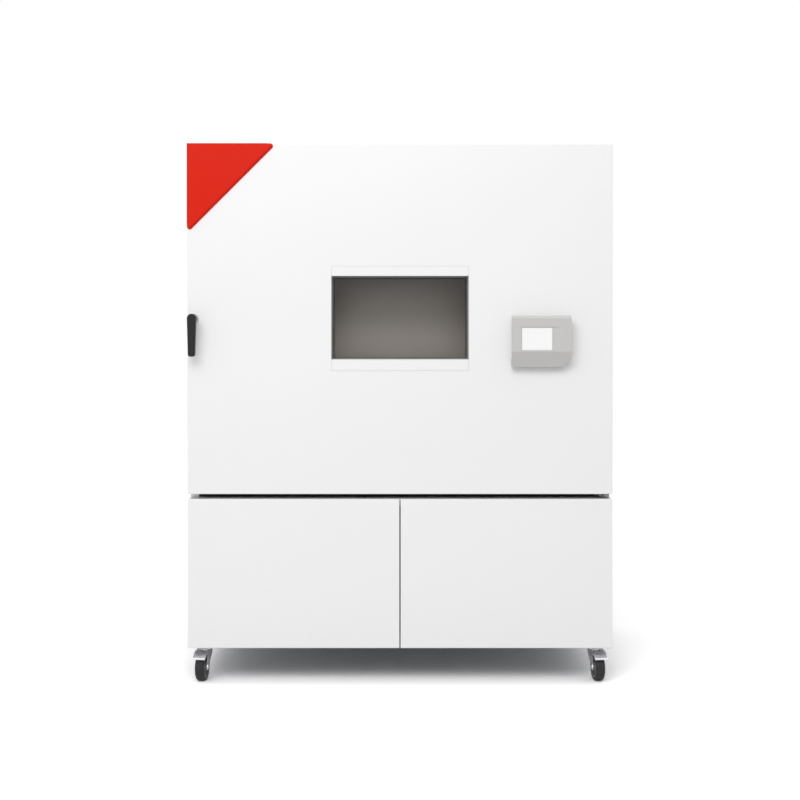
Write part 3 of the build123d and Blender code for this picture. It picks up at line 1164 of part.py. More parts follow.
def caster_fork():
    """Pressed fork: a head under the race, two tapered legs and the axle bolt."""
    top = CASTER_HEIGHT - PLATE - RACE - RUNNING
    head = rod((0, 0, top - FORK_SHEET), (0, 0, top), RACE_RADIUS + 3.0)
    leg_in = WHEEL_WIDTH / 2 + FORK_GAP
    leg_out = leg_in + FORK_SHEET
    rear, fore = RACE_RADIUS - 4.0, -RACE_RADIUS - 10.0
    side = [(rear, top), (fore, top), (fore, top - 14.0), (-TRAIL - BOSS_RADIUS, WHEEL_RADIUS),
            (-TRAIL + BOSS_RADIUS, WHEEL_RADIUS), (rear, top - 26.0)]
    fork = head
    for x in (-leg_out, leg_in):
        leg = profile_x(side, x, FORK_SHEET)
        leg += rod((x, -TRAIL, WHEEL_RADIUS), (x + FORK_SHEET, -TRAIL, WHEEL_RADIUS), BOSS_RADIUS)
        fork += leg
    fork += block((-leg_out, leg_out), (fore, rear), (top - FORK_SHEET, top))
    fork -= rod((0, 0, top - 2 * FORK_SHEET), (0, 0, top + 1.0), KING_PIN_RADIUS + RUNNING)
    bolt_end = leg_out + 5.0
    fork += rod((-bolt_end, -TRAIL, WHEEL_RADIUS), (bolt_end, -TRAIL, WHEEL_RADIUS), AXLE_RADIUS)
    for x in (-bolt_end, leg_out):
        hexagon = Plane.YZ.offset(x) * Pos(-TRAIL, WHEEL_RADIUS) * RegularPolygon(9.0, 6)
        fork += extrude(hexagon, amount=bolt_end - leg_out)
    return fork


def caster_wheel():
    """Rubber-tyred wheel: rounded tread, a recess on each side and a hub on the axle."""
    half = WHEEL_WIDTH / 2
    rim = WHEEL_RADIUS - 13.0
    web = 7.0
    hub = 13.0
    s = TYRE_SHOULDER
    with BuildSketch() as outline:
        with BuildLine():
            Polyline((-half, rim), (-half, WHEEL_RADIUS - s))
            ThreePointArc((-half, WHEEL_RADIUS - s), (-half + 0.29 * s, WHEEL_RADIUS - 0.29 * s), (-half + s, WHEEL_RADIUS))
            Line((-half + s, WHEEL_RADIUS), (half - s, WHEEL_RADIUS))
            ThreePointArc((half - s, WHEEL_RADIUS), (half - 0.29 * s, WHEEL_RADIUS - 0.29 * s), (half, WHEEL_RADIUS - s))
            Polyline((half, WHEEL_RADIUS - s), (half, rim), (web, rim - 3.0), (web, hub), (half, hub),
                     (half, AXLE_RADIUS + RUNNING), (-half, AXLE_RADIUS + RUNNING), (-half, hub), (-web, hub),
                     (-web, rim - 3.0), (-half, rim))
        make_face()
    wheel = revolve(outline.sketch, axis=Axis.X)
    return Pos(0, -TRAIL, WHEEL_RADIUS) * wheel


def pedal_pin():
    """The y and z of a brake pedal's pivot in a caster's own frame."""
    return -RACE_RADIUS + 3.0, CASTER_HEIGHT - PLATE - RACE - FORK_SHEET - 7.5


def brake_pedal():
    """Pressed brake pedal over the wheel: two ears on a pin and a sloping plate with a turned-up toe."""
    pin_y, pin_z = pedal_pin()
    half = WHEEL_WIDTH / 2 + FORK_GAP + FORK_SHEET + PEDAL_PLAY + PEDAL_SHEET
    top, toe = (pin_y - 26.0, pin_z + 5.0), (pin_y - PEDAL_REACH, pin_z - PEDAL_DROP)
    thick = PEDAL_SHEET * 1.25
    side = [top, toe, (toe[0] - 3.0, toe[1] + 4.0), (toe[0] - 3.0, toe[1] + 8.0), (toe[0], toe[1] + thick + 1.0),
            (top[0], top[1] + thick)]
    pedal = profile_x(side, -half, 2 * half)
    ear = [(pin_y + 6.0, pin_z - 6.0), (pin_y + 6.0, pin_z + 6.0), (top[0], top[1] + thick),
           (top[0] - 20.0, top[1] - 12.0), (top[0] - 2.0, pin_z - 8.0)]
    for x in (-half, half - PEDAL_SHEET):
        pedal += profile_x(ear, x, PEDAL_SHEET)
    return pedal + rod((-half, pin_y, pin_z), (half, pin_y, pin_z), PEDAL_PIN_RADIUS)


def pedal_pin_hole():
    """Hole for the pedal's pin through both legs of a fork."""
    pin_y, pin_z = pedal_pin()
    reach = WHEEL_WIDTH
    return rod((-reach, pin_y, pin_z), (reach, pin_y, pin_z), PEDAL_PIN_RADIUS + RUNNING)


CASTERS = {
    "front_left": Pos(-CASTER_X, CASTER_FRONT_Y, 0) * Rot(0, 0, -TOE),
    "front_right": Pos(CASTER_X, CASTER_FRONT_Y, 0) * Rot(0, 0, TOE),
    "rear_left": Pos(-CASTER_X, CASTER_REAR_Y, 0),
    "rear_right": Pos(CASTER_X, CASTER_REAR_Y, 0),
}


def write(name, shape):
    """Writes one node, whose solids may be one shape or a list of separate ones."""
    solids = shape if isinstance(shape, list) else [shape]
    export_step(solids[0] if len(solids) == 1 else Compound(children=solids), os.path.join("parts", name + ".step"))


def write_casters():
    """Writes the plates, forks, wheels and front brake pedals at their four places."""
    plate, fork, wheel, pedal = caster_plate(), caster_fork(), caster_wheel(), brake_pedal()
    braked_fork = fork - pedal_pin_hole()
    write("caster_plates", [Pos(place.position) * plate for place in CASTERS.values()])
    for name, place in CASTERS.items():
        braked = name.startswith("front")
        write(f"fork_{name}", place * (braked_fork if braked else fork))
        write(f"wheel_{name}", place * wheel)
        if braked:
            write(f"brake_pedal_{name[6:]}", place * pedal)


NODES = {
    "base_frame": base_frame,
    "lower_side_left": lambda: lower_side(-1),
    "lower_side_right": lambda: lower_side(1),
    "service_deck": service_deck,
    "lower_rear_panel": lower_rear_panel,
    "upper_casing": upper_casing,
    "upper_rear_panel": upper_rear_panel,
    "front_frame": front_frame,
    "chamber_liner": chamber_liner,
    "body_insulation": body_insulation,
    "air_baffle": air_baffle,
    "circulation_fan": circulation_fan,
    "fan_motor": fan_motor,
    "evaporator": evaporator,
    "air_heater": air_heater,
    "shelf_rails": shelf_rails,
    "shelf": shelf,
    "port_plug": port_plug,
    "compressor": compressor,
    "condenser": condenser,
    "fan_shroud": fan_shroud,
    "condenser_fan": condenser_fan,
    "electrical_box": electrical_box,
    "refrigerant_pipes": refrigerant_pipes,
    "door_skin": door_skin,
    "door_core": door_core,
    "door_liner": door_liner,
    "door_gasket": door_gasket,
    "door_pivot_blocks": door_pivot_blocks,
    "window_frame": window_frame,
    "window_trims": window_trims,
    "window_outer_pane": lambda: window_pane(FACE_Y + 3 * PANE),
    "window_inner_pane": lambda: window_pane(PLUG_BACK_Y - 2 * PANE),
    "corner_plate": corner_plate,
    "handle_rosette": handle_rosette,
    "door_handle": door_handle,
    "latch_cam": latch_cam,
    "latch_keeper": latch_keeper,
    "hinge_brackets": hinge_brackets,
    "controller_housing": controller_housing,
    "controller_bezel": controller_bezel,
    "touch_screen": touch_screen,
    "service_door_left": lambda: service_door(-1),
    "service_door_right": lambda: service_door(1),
    "service_hinges": service_hinges,
    "drain_outlet": drain_outlet,
    "power_gland": power_gland,
    "rear_screws": rear_screws,
    "main_switch": main_switch,
}

os.makedirs("parts", exist_ok=True)
for node_name, make in NODES.items():
    write(node_name, make())
write_casters()
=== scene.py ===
import json
import math

import bmesh
import bpy
import numpy as np
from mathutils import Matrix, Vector


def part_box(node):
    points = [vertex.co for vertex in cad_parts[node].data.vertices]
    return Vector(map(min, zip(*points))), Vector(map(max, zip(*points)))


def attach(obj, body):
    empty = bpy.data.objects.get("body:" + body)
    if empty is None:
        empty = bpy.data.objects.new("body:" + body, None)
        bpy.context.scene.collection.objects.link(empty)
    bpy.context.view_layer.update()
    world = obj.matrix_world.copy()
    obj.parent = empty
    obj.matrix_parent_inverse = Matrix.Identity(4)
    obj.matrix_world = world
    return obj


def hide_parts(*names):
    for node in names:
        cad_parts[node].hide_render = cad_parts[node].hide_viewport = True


bl_info = {
    "name": "Test Chamber Dressing",
    "version": (1, 0, 0),
    "blender": (4, 5, 0),
    "location": "View3D > Sidebar > Chamber",
    "description": "Finishes and fine pieces of an upright environmental test chamber, with a plain studio",
    "category": "Object",
}

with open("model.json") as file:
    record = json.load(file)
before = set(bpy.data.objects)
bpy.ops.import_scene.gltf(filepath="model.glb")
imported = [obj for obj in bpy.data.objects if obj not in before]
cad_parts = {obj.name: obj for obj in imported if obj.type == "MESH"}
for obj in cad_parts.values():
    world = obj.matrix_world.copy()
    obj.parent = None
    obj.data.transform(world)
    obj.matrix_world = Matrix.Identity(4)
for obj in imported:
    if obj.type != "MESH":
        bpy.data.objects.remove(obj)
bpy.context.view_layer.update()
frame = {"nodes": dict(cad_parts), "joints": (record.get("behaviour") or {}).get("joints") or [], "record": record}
NODES = frame["nodes"]
JOINTS = {joint["name"]: joint for joint in frame["joints"]}
MOUNTS = {mount["name"]: mount for mount in frame["record"]["mounts"]}
CASTER_NAMES = ("front_left", "front_right", "rear_left", "rear_right")

# All lengths are in metres

TOUCH = 0.0002  # how far a fine piece stands off the solid that carries it
MERGE = 1e-6  # points nearer than this are one
SMOOTH_BELOW = math.radians(35.0)  # edges that bend less are shaded smooth

# Profiles of the fine pieces. A turned one has (radius, height) pairs.
WHEEL_DISC = ((0.0135, 0.0172), (0.0150, 0.0150), (0.0180, 0.0095), (0.0240, 0.0088), (0.0310, 0.0098),
              (0.0345, 0.0135), (0.0362, 0.0168), (0.0372, 0.0174), (0.0392, 0.0170))
SWIVEL_RACE = ((0.0320, -0.0015), (0.0335, -0.0005), (0.0335, 0.0015), (0.0322, 0.0030), (0.0300, 0.0034))
GLAND_CAP = ((0.0090, 0.0005), (0.0120, 0.0005), (0.0152, -0.0030), (0.0174, -0.0044), (0.0176, -0.0120),
             (0.0172, -0.0135))
BARB = ((0.0001, -0.0005), (0.0012, 0.0), (0.0002, 0.0065))  # (outwards, along)
DISPLAY_FRAME = ((0.0, 0.0), (-0.0026, -0.0001), (-0.0030, -0.0004), (-0.0026, -0.0008), (0.0, -0.0011))

# Profiles as shares of a size
BEAD = ((-0.9, 0.0), (-1.0, -0.12), (-0.6, -0.75), (-0.25, -1.0))  # (outwards, depth), in bead heights
SCREW_HEAD = ((0.0, 0.30), (0.34, 0.30), (0.40, 0.55), (0.66, 0.42), (0.86, 0.22), (0.92, 0.0), (1.18, 0.0),
              (1.22, -0.03), (1.22, -0.12))  # (radius, height), in head radii
SLOT_RIBS = ((0.0, 0.0), (0.0, 1.0), (0.15, 0.75), (0.30, 1.0), (0.40, 0.60), (0.55, 0.95), (0.70, 0.60),
             (0.80, 0.90), (1.0, 0.45), (1.0, 0.0))  # (height, thickness), in the strip's height and thickness

# Window, door seal, slot and display
PANE_CORNER = 0.004  # radius of the panes' corners
SEAL_INSETS = (0.010, 0.021)  # of the two lips, from the seal's outer edge
SEAL_CORNER = 0.042  # radius of the seal's outer corners
LIP_FLATNESS = 0.5  # a lip's height as a share of its width
STRIP_INSET = 0.030  # of the slot strip's ends, from the sides of the front frame
STRIP_THICKNESS = 0.0045
DISPLAY_CORNER = 0.0015

# Coils
FIN_THICKNESS = 0.0004
FIN_WAVE, FIN_WAVES = 0.0007, 4  # how far a fin swings to a side, and its half waves
FIN_STEPS = 9  # points along a fin's depth
FIN_GAP = 0.0005  # between the fins and the face of a coil
CONDENSER_SIDE, CONDENSER_END, CONDENSER_DEPTH = 0.006, 0.016, 0.022  # insets of the fins, and their depth
COIL_SIDE, COIL_FOOT, COIL_TOP, COIL_DEPTH = 0.063, 0.122, 0.002, 0.026  # likewise, of the cooling coil

# Screws
SCREW_ROWS = 3  # of screws on a rear panel
SCREW_SEAT = 0.0019  # from the rear of the carried-over screws to the foot of a domed head
HEAD_SHARE = 0.8  # of a screw's radius, so that its washer is about as wide as the screw
KEEPER_INSET, KEEPER_SEAT, KEEPER_SPREAD = 0.007, 0.0027, 0.011  # places of the keeper's two screws
KEEPER_SCREW = 0.0028  # radius of a keeper screw's head

# Fittings
BARB_FOOT = (-0.0285, -0.0270)  # plain collar before the barbs
BARB_STARTS = (-0.026, -0.018, -0.010)
SPIGOT_TIP = 0.002  # from the spigot's end to the level that the barbs are counted from
GLAND_RIB, GLAND_RIBS = 0.0004, 16  # height and number of the ribs
PLUG_RING_INSETS, PLUG_RING_WIRE = (0.0045, 0.0095), 0.0011

# Chamber
WELD_LEG, WELD_SINK = 0.006, 0.0003  # length of a fillet's leg, and how deep it sits in the walls
WELD_FRONT, WELD_BACK = 0.001, 0.0005  # gaps before and behind a fillet
WELD_STEPS = 6  # points along a fillet's arc
GUARD_REACH, GUARD_RISE, GUARD_WIRE = 0.098, 0.022, 0.0014  # radius and height of the dome, radius of its wire
GUARD_EYE, GUARD_RINGS, GUARD_SPOKES = 0.02, 6, 3  # radius of the smallest ring, and the numbers of both wires
SPOKE_LIFT, SPOKE_STEPS = 1.5, 25  # how far the spokes lie in front of the rings, in wire radii, and their points

# Studio
WHITE, WARM = (1.0, 1.0, 1.0), (1.0, 0.9, 0.8)
FLOOR_REACH, FLOOR_STEPS = 14.0, 9
FLOOR_SHOWN, FLOOR_PLAIN = (1.3, 1.3, 1.31, 1.0), (0.6, 0.6, 0.6, 1.0)  # as seen, and as it lights the object
SKY_RISE = (-0.05, 0.6)  # heights of a direction between which the sky brightens
KEY_SIZE, KEY_PLACE, KEY_AIM = (4.0, 3.0), (-1.2, -5.0, 4.6), (0.0, 0.0, 1.2)
MOUTH_LAMP_SIZE, MOUTH_LAMP_INSET, MOUTH_LAMP_DROP = (0.7, 0.2), 0.09, 0.14
SENSOR_WIDTH = 36.0  # in millimetres
CLIP_END = 60.0


# Surfaces


def skin(name, points, close_u=False, close_v=False, cap=False):
    """Mesh of a grid of points, of shape (u, v, 3): each cell between neighbouring rows and columns is one face.

    close_u and close_v join the last row or column to the first. With cap, the first and the last row of a
    surface closed in v are filled, each with one face."""
    rows, columns = points.shape[:2]
    u = np.arange(rows if close_u else rows - 1)[:, None]
    v = np.arange(columns if close_v else columns - 1)[None, :]
    u_next, v_next = (u + 1) % rows, (v + 1) % columns
    corners = ((u, v), (u_next, v), (u_next, v_next), (u, v_next))
    cells = np.stack([row * columns + column for row, column in corners], axis=-1)
    faces = cells.reshape(-1, 4).tolist()
    if cap:
        ring = np.arange(columns)
        faces += [ring.tolist(), ((rows - 1) * columns + ring[::-1]).tolist()]
    return raw_mesh(name, points.reshape(-1, 3), faces)


def raw_mesh(name, vertices, faces):
    """Mesh data from an array of places and a list of faces."""
    mesh = bpy.data.meshes.new(name)
    mesh.from_pydata(vertices.tolist(), [], faces)
    mesh.validate()
    mesh.update()
    return mesh


def joined(name, meshes):
    """One mesh of several, each with its own places and faces."""
    vertices, faces, start = [], [], 0
    for mesh in meshes:
        places = np.empty(len(mesh.vertices) * 3)
        mesh.vertices.foreach_get("co", places)
        vertices.append(places.reshape(-1, 3))
        faces += [[start + index for index in face.vertices] for face in mesh.polygons]
        start += len(mesh.vertices)
        bpy.data.meshes.remove(mesh)
    return raw_mesh(name, np.concatenate(vertices), faces)


def round_angles(steps):
    """Equal angles once round."""
    return np.linspace(0.0, math.tau, steps, endpoint=False)


def axes_about(axis):
    """A unit vector along an axis, and two that are square to it and to each other."""
    axis = np.array(axis, float) / np.linalg.norm(axis)
    helper = np.array((0.0, 0.0, 1.0)) if abs(axis[2]) < 0.9 else np.array((1.0, 0.0, 0.0))
    first = np.cross(helper, axis)
    first /= np.linalg.norm(first)
    return axis, first, np.cross(axis, first)


def turned(name, profile, centre, axis, steps=48, ripple=0.0, ribs=0):
    """Surface of revolution: place(t, s) = centre + axis * h(s) + r(s) * (cos t * first + sin t * second).

    The profile is a list of (r, h) pairs. A ripple adds ripple * cos(ribs * t) to the radius, for a knurl."""
    axis, first, second = axes_about(axis)
    radius, height = np.array(profile, float).T
    angle = round_angles(steps)[:, None]
    spread = radius[None, :] + ripple * np.cos(ribs * angle) * (radius[None, :] > 2 * ripple)
    points = (np.array(centre) + height[None, :, None] * axis
              + (spread * np.cos(angle))[..., None] * first + (spread * np.sin(angle))[..., None] * second)
    return skin(name, points, close_u=True)


def rounded_path(low, high, radius, steps=8):
    """Places and outward directions round a rectangle in the XZ plane whose corners are arcs of a radius.

    Each corner is centre + radius * (cos a, sin a) for a over a quarter turn; the straights join the arcs."""
    quarter = np.linspace(0.0, math.pi / 2, steps)
    angle = np.concatenate([quarter + turn * math.pi / 2 for turn in range(4)])
    centre_x = np.repeat([high[0] - radius, low[0] + radius, low[0] + radius, high[0] - radius], steps)
    centre_z = np.repeat([high[1] - radius, high[1] - radius, low[1] + radius, low[1] + radius], steps)
    out = np.stack([np.cos(angle), np.zeros_like(angle), np.sin(angle)], axis=-1)
    places = np.stack([centre_x, np.zeros_like(angle), centre_z], axis=-1) + radius * out
    return places, out


def carried(name, profile, path, y):
    """Surface of a closed profile carried round a path: place(u, v) = path(u) + n(v) * outward(u) + (y + d(v)) * Y."""
    places, out = path
    n, d = np.array(profile, float).T
    points = places[:, None, :] + n[None, :, None] * out[:, None, :]
    points[..., 1] = y + d[None, :]
    return skin(name, points, close_u=True, close_v=True)


def tube(name, path, radius, sides, close=False):
    """Surface of a round bar: place(u, v) = path(u) + radius * (cos v * side(u) + sin v * up(u))."""
    path = np.array(path, float)
    along = np.roll(path, -1, axis=0) - np.roll(path, 1, axis=0) if close else np.gradient(path, axis=0)
    along /= np.linalg.norm(along, axis=1)[:, None]
    side = np.cross((0.31, 0.17, 0.93), along)  # any direction that no path runs along
    side /= np.linalg.norm(side, axis=1)[:, None]
    up = np.cross(along, side)
    angle = round_angles(sides)
    points = path[:, None, :] + radius * (np.cos(angle)[None, :, None] * side[:, None, :]
                                          + np.sin(angle)[None, :, None] * up[:, None, :])
    return skin(name, points, close_u=close, close_v=True, cap=not close)


def hoop(centre, axis, radius, wire, steps, sides):
    """Ring of round wire: a tube along centre + radius * (cos t * first + sin t * second), square to its axis."""
    _, first, second = axes_about(axis)
    angle = round_angles(steps)[:, None]
    return tube("hoop", np.array(centre) + radius * (np.cos(angle) * first + np.sin(angle) * second), wire, sides,
                close=True)


def oval_profile(half_width, half_height, steps=14):
    """Closed oval of (n, d) pairs: n = a cos t, d = b sin t."""
    angle = round_angles(steps)
    return np.stack([half_width * np.cos(angle), half_height * np.sin(angle)], axis=-1)


def fin_row(name, low, high, count):
    """A row of thin upright fins along X, each bent to x(y) = x0 + wave * sin(waves * pi * (y - y0) / depth).

    A fin is a loop round its two skins, half a thickness to either side, carried from its foot to its top."""
    x0 = np.linspace(low[0], high[0], count)[:, None, None]
    y = np.linspace(low[1], high[1], FIN_STEPS)[None, :, None]
    z = np.array((low[2], high[2]))[None, None, :]
    middle = x0 + FIN_WAVE * np.sin(FIN_WAVES * math.pi * (y - low[1]) / (high[1] - low[1]))
    skins = [np.stack(np.broadcast_arrays(middle + side * FIN_THICKNESS / 2, y, z), axis=-1) for side in (-1, 1)]
    loops = np.concatenate([skins[0], skins[1][:, ::-1]], axis=1)
    return joined(name, [skin(name, loop, close_u=True) for loop in loops])


def screw_heads(name, centres, axis, radius):
    """Domed heads on flat washers, each with a round drive recess: one turned profile at each centre."""
    profile = np.array(SCREW_HEAD) * radius
    return joined(name, [turned(name, profile, centre, axis, steps=24) for centre in centres])


def link_object(name, data):
    """Object of some data, in the scene."""
    thing = bpy.data.objects.new(name, data)
    bpy.context.scene.collection.objects.link(thing)
    return thing


def place_piece(name, mesh, body, slot, finish=None):
    """Object of a mesh at the origin that rides on a body, with outward normals and the finish of its slot.

    A finish other than the slot's is named."""
    piece = link_object(name, mesh)
    work = bmesh.new()
    work.from_mesh(mesh)
    bmesh.ops.remove_doubles(work, verts=work.verts, dist=MERGE)
    bmesh.ops.recalc_face_normals(work, faces=work.faces)
    work.to_mesh(mesh)
    work.free()
    mesh.shade_smooth()
    mesh.set_sharp_from_angle(angle=SMOOTH_BELOW)
    mesh.materials.append(FINISHES[finish or slot])
    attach(piece, body)
    return piece


# Shader expressions


class Term:
    """A socket of a finish's node tree, on which arithmetic adds Math nodes."""

    def __init__(self, finish, socket):
        self.finish = finish
        self.socket = socket

    def math(self, operation, *others):
        return self.finish.node("ShaderNodeMath", {"operation": operation}, dict(enumerate((self, *others))))

    def __add__(self, other):
        return self.math("ADD", other)

    def __sub__(self, other):
        return self.math("SUBTRACT", other)

    def __mul__(self, other):
        return self.math("MULTIPLY", other)

    def __rsub__(self, other):
        return self.math("MULTIPLY_ADD", -1.0, other)

    __radd__ = __add__
    __rmul__ = __mul__


class Finish:
    """A material with one Principled shader, whose node tree is built by expressions."""

    def __init__(self, name, colour, roughness, metallic=0.0, coat=0.0, specular=0.5):
        self.material = bpy.data.materials.new(name)
        self.material.use_nodes = True
        self.tree = self.material.node_tree
        self.shader = self.tree.nodes["Principled BSDF"]
        self.colour = (*colour[:3], 1.0)
        self.place = None
        self.set("Base Color", self.colour)
        self.set("Roughness", roughness)
        self.set("Metallic", metallic)
        self.set("Coat Weight", coat)
        self.set("Specular IOR Level", specular)

    def feed(self, socket, value):
        """Links a socket to a term, or sets its value."""
        if isinstance(value, Term):
            self.tree.links.new(value.socket, socket)
        else:
            socket.default_value = value

    def set(self, name, value):
        """Feeds a socket of the shader."""
        self.feed(self.shader.inputs[name], value)

    def node(self, kind, settings=None, inputs=None, output=0):
        """Any node: its settings first, then the values or links of its sockets. Gives one output as a Term."""
        node = self.tree.nodes.new(kind)
        for key, value in (settings or {}).items():
            setattr(node, key, value)
        for key, value in (inputs or {}).items():
            self.feed(node.inputs[key], value)
        return Term(self, node.outputs[output])

    def coordinates(self, stretch=None):
        """Object coordinates, stretched along each axis."""
        if self.place is None:
            self.place = self.node("ShaderNodeTexCoord", output="Object")
        if stretch is None:
            return self.place
        return self.node("ShaderNodeMapping", {}, {"Vector": self.place, "Scale": stretch})

    def noise(self, scale, detail=3.0, stretch=None, rough=0.55):
        """Cloudy noise between 0 and 1."""
        inputs = {"Vector": self.coordinates(stretch), "Scale": scale, "Detail": detail, "Roughness": rough}
        return self.node("ShaderNodeTexNoise", {}, inputs, "Fac")

    def cells(self, scale, output="Distance"):
        """Cell pattern: the distance to the nearest of scattered points, or its colour."""
        return self.node("ShaderNodeTexVoronoi", {}, {"Vector": self.coordinates(), "Scale": scale}, output)

    def ramp(self, term, low, high):
        """Straight line from 0 at the low value of a term to 1 at the high one, held at both ends."""
        return self.node("ShaderNodeMapRange", {}, {"Value": term, "From Min": low, "From Max": high})

    def blend(self, first, second, factor):
        """Colour between two colours."""
        return self.node("ShaderNodeMix", {"data_type": "RGBA"}, {"Factor": factor, 6: first, 7: second}, 2)

    def tint(self, factor, darker, lighter):
        """Base colour that varies between a darker and a lighter shade of its own."""
        dark, light = ((*(min(c * share, 1.0) for c in self.colour[:3]), 1.0) for share in (darker, lighter))
        self.set("Base Color", self.blend(dark, light, factor))

    def relief(self, height, strength, distance):
        """Bump from a height term."""
        inputs = {"Height": height, "Strength": strength, "Distance": distance}
        self.set("Normal", self.node("ShaderNodeBump", {}, inputs))


# Finishes


def powder_coat(name, colour, roughness=0.36, peel=260.0, specular=0.5, coat=0.15):
    """Satin powder coat: a fine orange peel, with slow clouds in colour and gloss."""
    finish = Finish(name, colour, roughness, coat=coat, specular=specular)
    finish.tint(finish.noise(1.6, detail=2.0), darker=0.985, lighter=1.01)
    finish.set("Roughness", roughness + 0.08 * (finish.noise(9.0) - 0.5))
    finish.relief(finish.noise(peel, detail=1.0), strength=0.05, distance=0.0006)
    return finish.material


def sheet_zinc(name, colour):
    """Hot-dip zinc: spangle cells that differ in shade and gloss."""
    finish = Finish(name, colour, roughness=0.5, metallic=0.75)
    shade = finish.node("ShaderNodeSeparateColor", {}, {"Color": finish.cells(150.0, output="Color")})
    finish.tint(shade, darker=0.95, lighter=1.03)
    finish.set("Roughness", 0.44 + 0.1 * shade)
    finish.relief(finish.noise(180.0), strength=0.06, distance=0.0004)
    return finish.material


def brushed_metal(name, colour, roughness=0.3, stretch=(1.0, 60.0, 60.0)):
    """Fine-brushed metal: noise drawn out along the brushing, in colour, gloss and relief."""
    finish = Finish(name, colour, roughness, metallic=1.0)
    lines = finish.noise(18.0, detail=4.0, stretch=stretch, rough=0.65)
    finish.tint(lines, darker=0.86, lighter=1.08)
    finish.set("Roughness", roughness - 0.07 + 0.16 * lines)
    finish.relief(lines, strength=0.08, distance=0.0003)
    return finish.material


def plated_metal(name, colour, roughness=0.22):
    """Zinc plate: soft clouds in gloss, with a faint pressed texture."""
    finish = Finish(name, colour, roughness, metallic=0.75)
    clouds = finish.noise(35.0, detail=4.0)
    finish.tint(clouds, darker=0.84, lighter=1.06)
    finish.set("Roughness", roughness + 0.2 * clouds * finish.noise(8.0))
    finish.relief(finish.noise(320.0), strength=0.05, distance=0.0003)
    return finish.material


def rubber(name, colour, roughness):
    """Moulded rubber: a dull fine grain with slightly shinier rubbed patches."""
    finish = Finish(name, colour, roughness, specular=0.3)
    finish.tint(finish.noise(14.0, detail=4.0), darker=0.85, lighter=1.15)
    finish.set("Roughness", roughness - 0.14 * finish.ramp(finish.noise(22.0), low=0.45, high=0.75))
    finish.relief(finish.noise(420.0, detail=2.0), strength=0.18, distance=0.0005)
    return finish.material


def moulded_plastic(name, colour, roughness, grain=900.0):
    """Moulded plastic: spark-eroded grain under an even satin."""
    finish = Finish(name, colour, roughness, specular=0.25)
    finish.tint(finish.noise(6.0), darker=0.97, lighter=1.02)
    finish.set("Roughness", roughness + 0.07 * (finish.noise(30.0) - 0.5))
    finish.relief(finish.cells(grain), strength=0.12, distance=0.0003)
    return finish.material


def foam(name, colour):
    """Rigid foam: fine round cells, darker at their middles."""
    finish = Finish(name, colour, roughness=0.9)
    cell = finish.cells(260.0)
    finish.tint(cell, darker=0.8, lighter=1.05)
    finish.relief(cell, strength=0.4, distance=0.001)
    return finish.material


def coated_glass(name, colour, alpha):
    """Tinted, coated glass with a faint, uneven veil."""
    finish = Finish(name, colour, roughness=0.04, coat=0.4)
    veil = finish.noise(3.0, detail=2.0)
    finish.set("Alpha", alpha + 0.06 * (veil - 0.5))
    finish.set("Roughness", 0.03 + 0.04 * veil)
    return finish.material


def display(name, colour):
    """Lit display behind a cover: a pale glow, not quite even."""
    finish = Finish(name, colour, roughness=0.22, coat=0.6)
    cloud = finish.noise(4.0, detail=1.0)
    finish.tint(cloud, darker=0.97, lighter=1.0)
    finish.set("Emission Color", finish.blend((0.55, 0.56, 0.57, 1.0), (0.6, 0.6, 0.6, 1.0), cloud))
    finish.set("Emission Strength", 0.2)
    return finish.material


def copper(name, colour):
    """Drawn copper tube: warm patches, duller where it was heated."""
    finish = Finish(name, colour, roughness=0.3, metallic=1.0)
    heat = finish.noise(12.0, detail=4.0)
    finish.tint(heat, darker=0.6, lighter=1.1)
    finish.set("Roughness", 0.22 + 0.3 * heat)
    return finish.material


FINISHES = {}
NODE_FINISHES = {"hinge_brackets": "zinc_dull"}  # nodes whose finish isn't that of their slot
PANEL_SHADE, CONTROL_BACK_SHADE = 0.98, 0.82  # of the panels against the door, and of the housing against its face


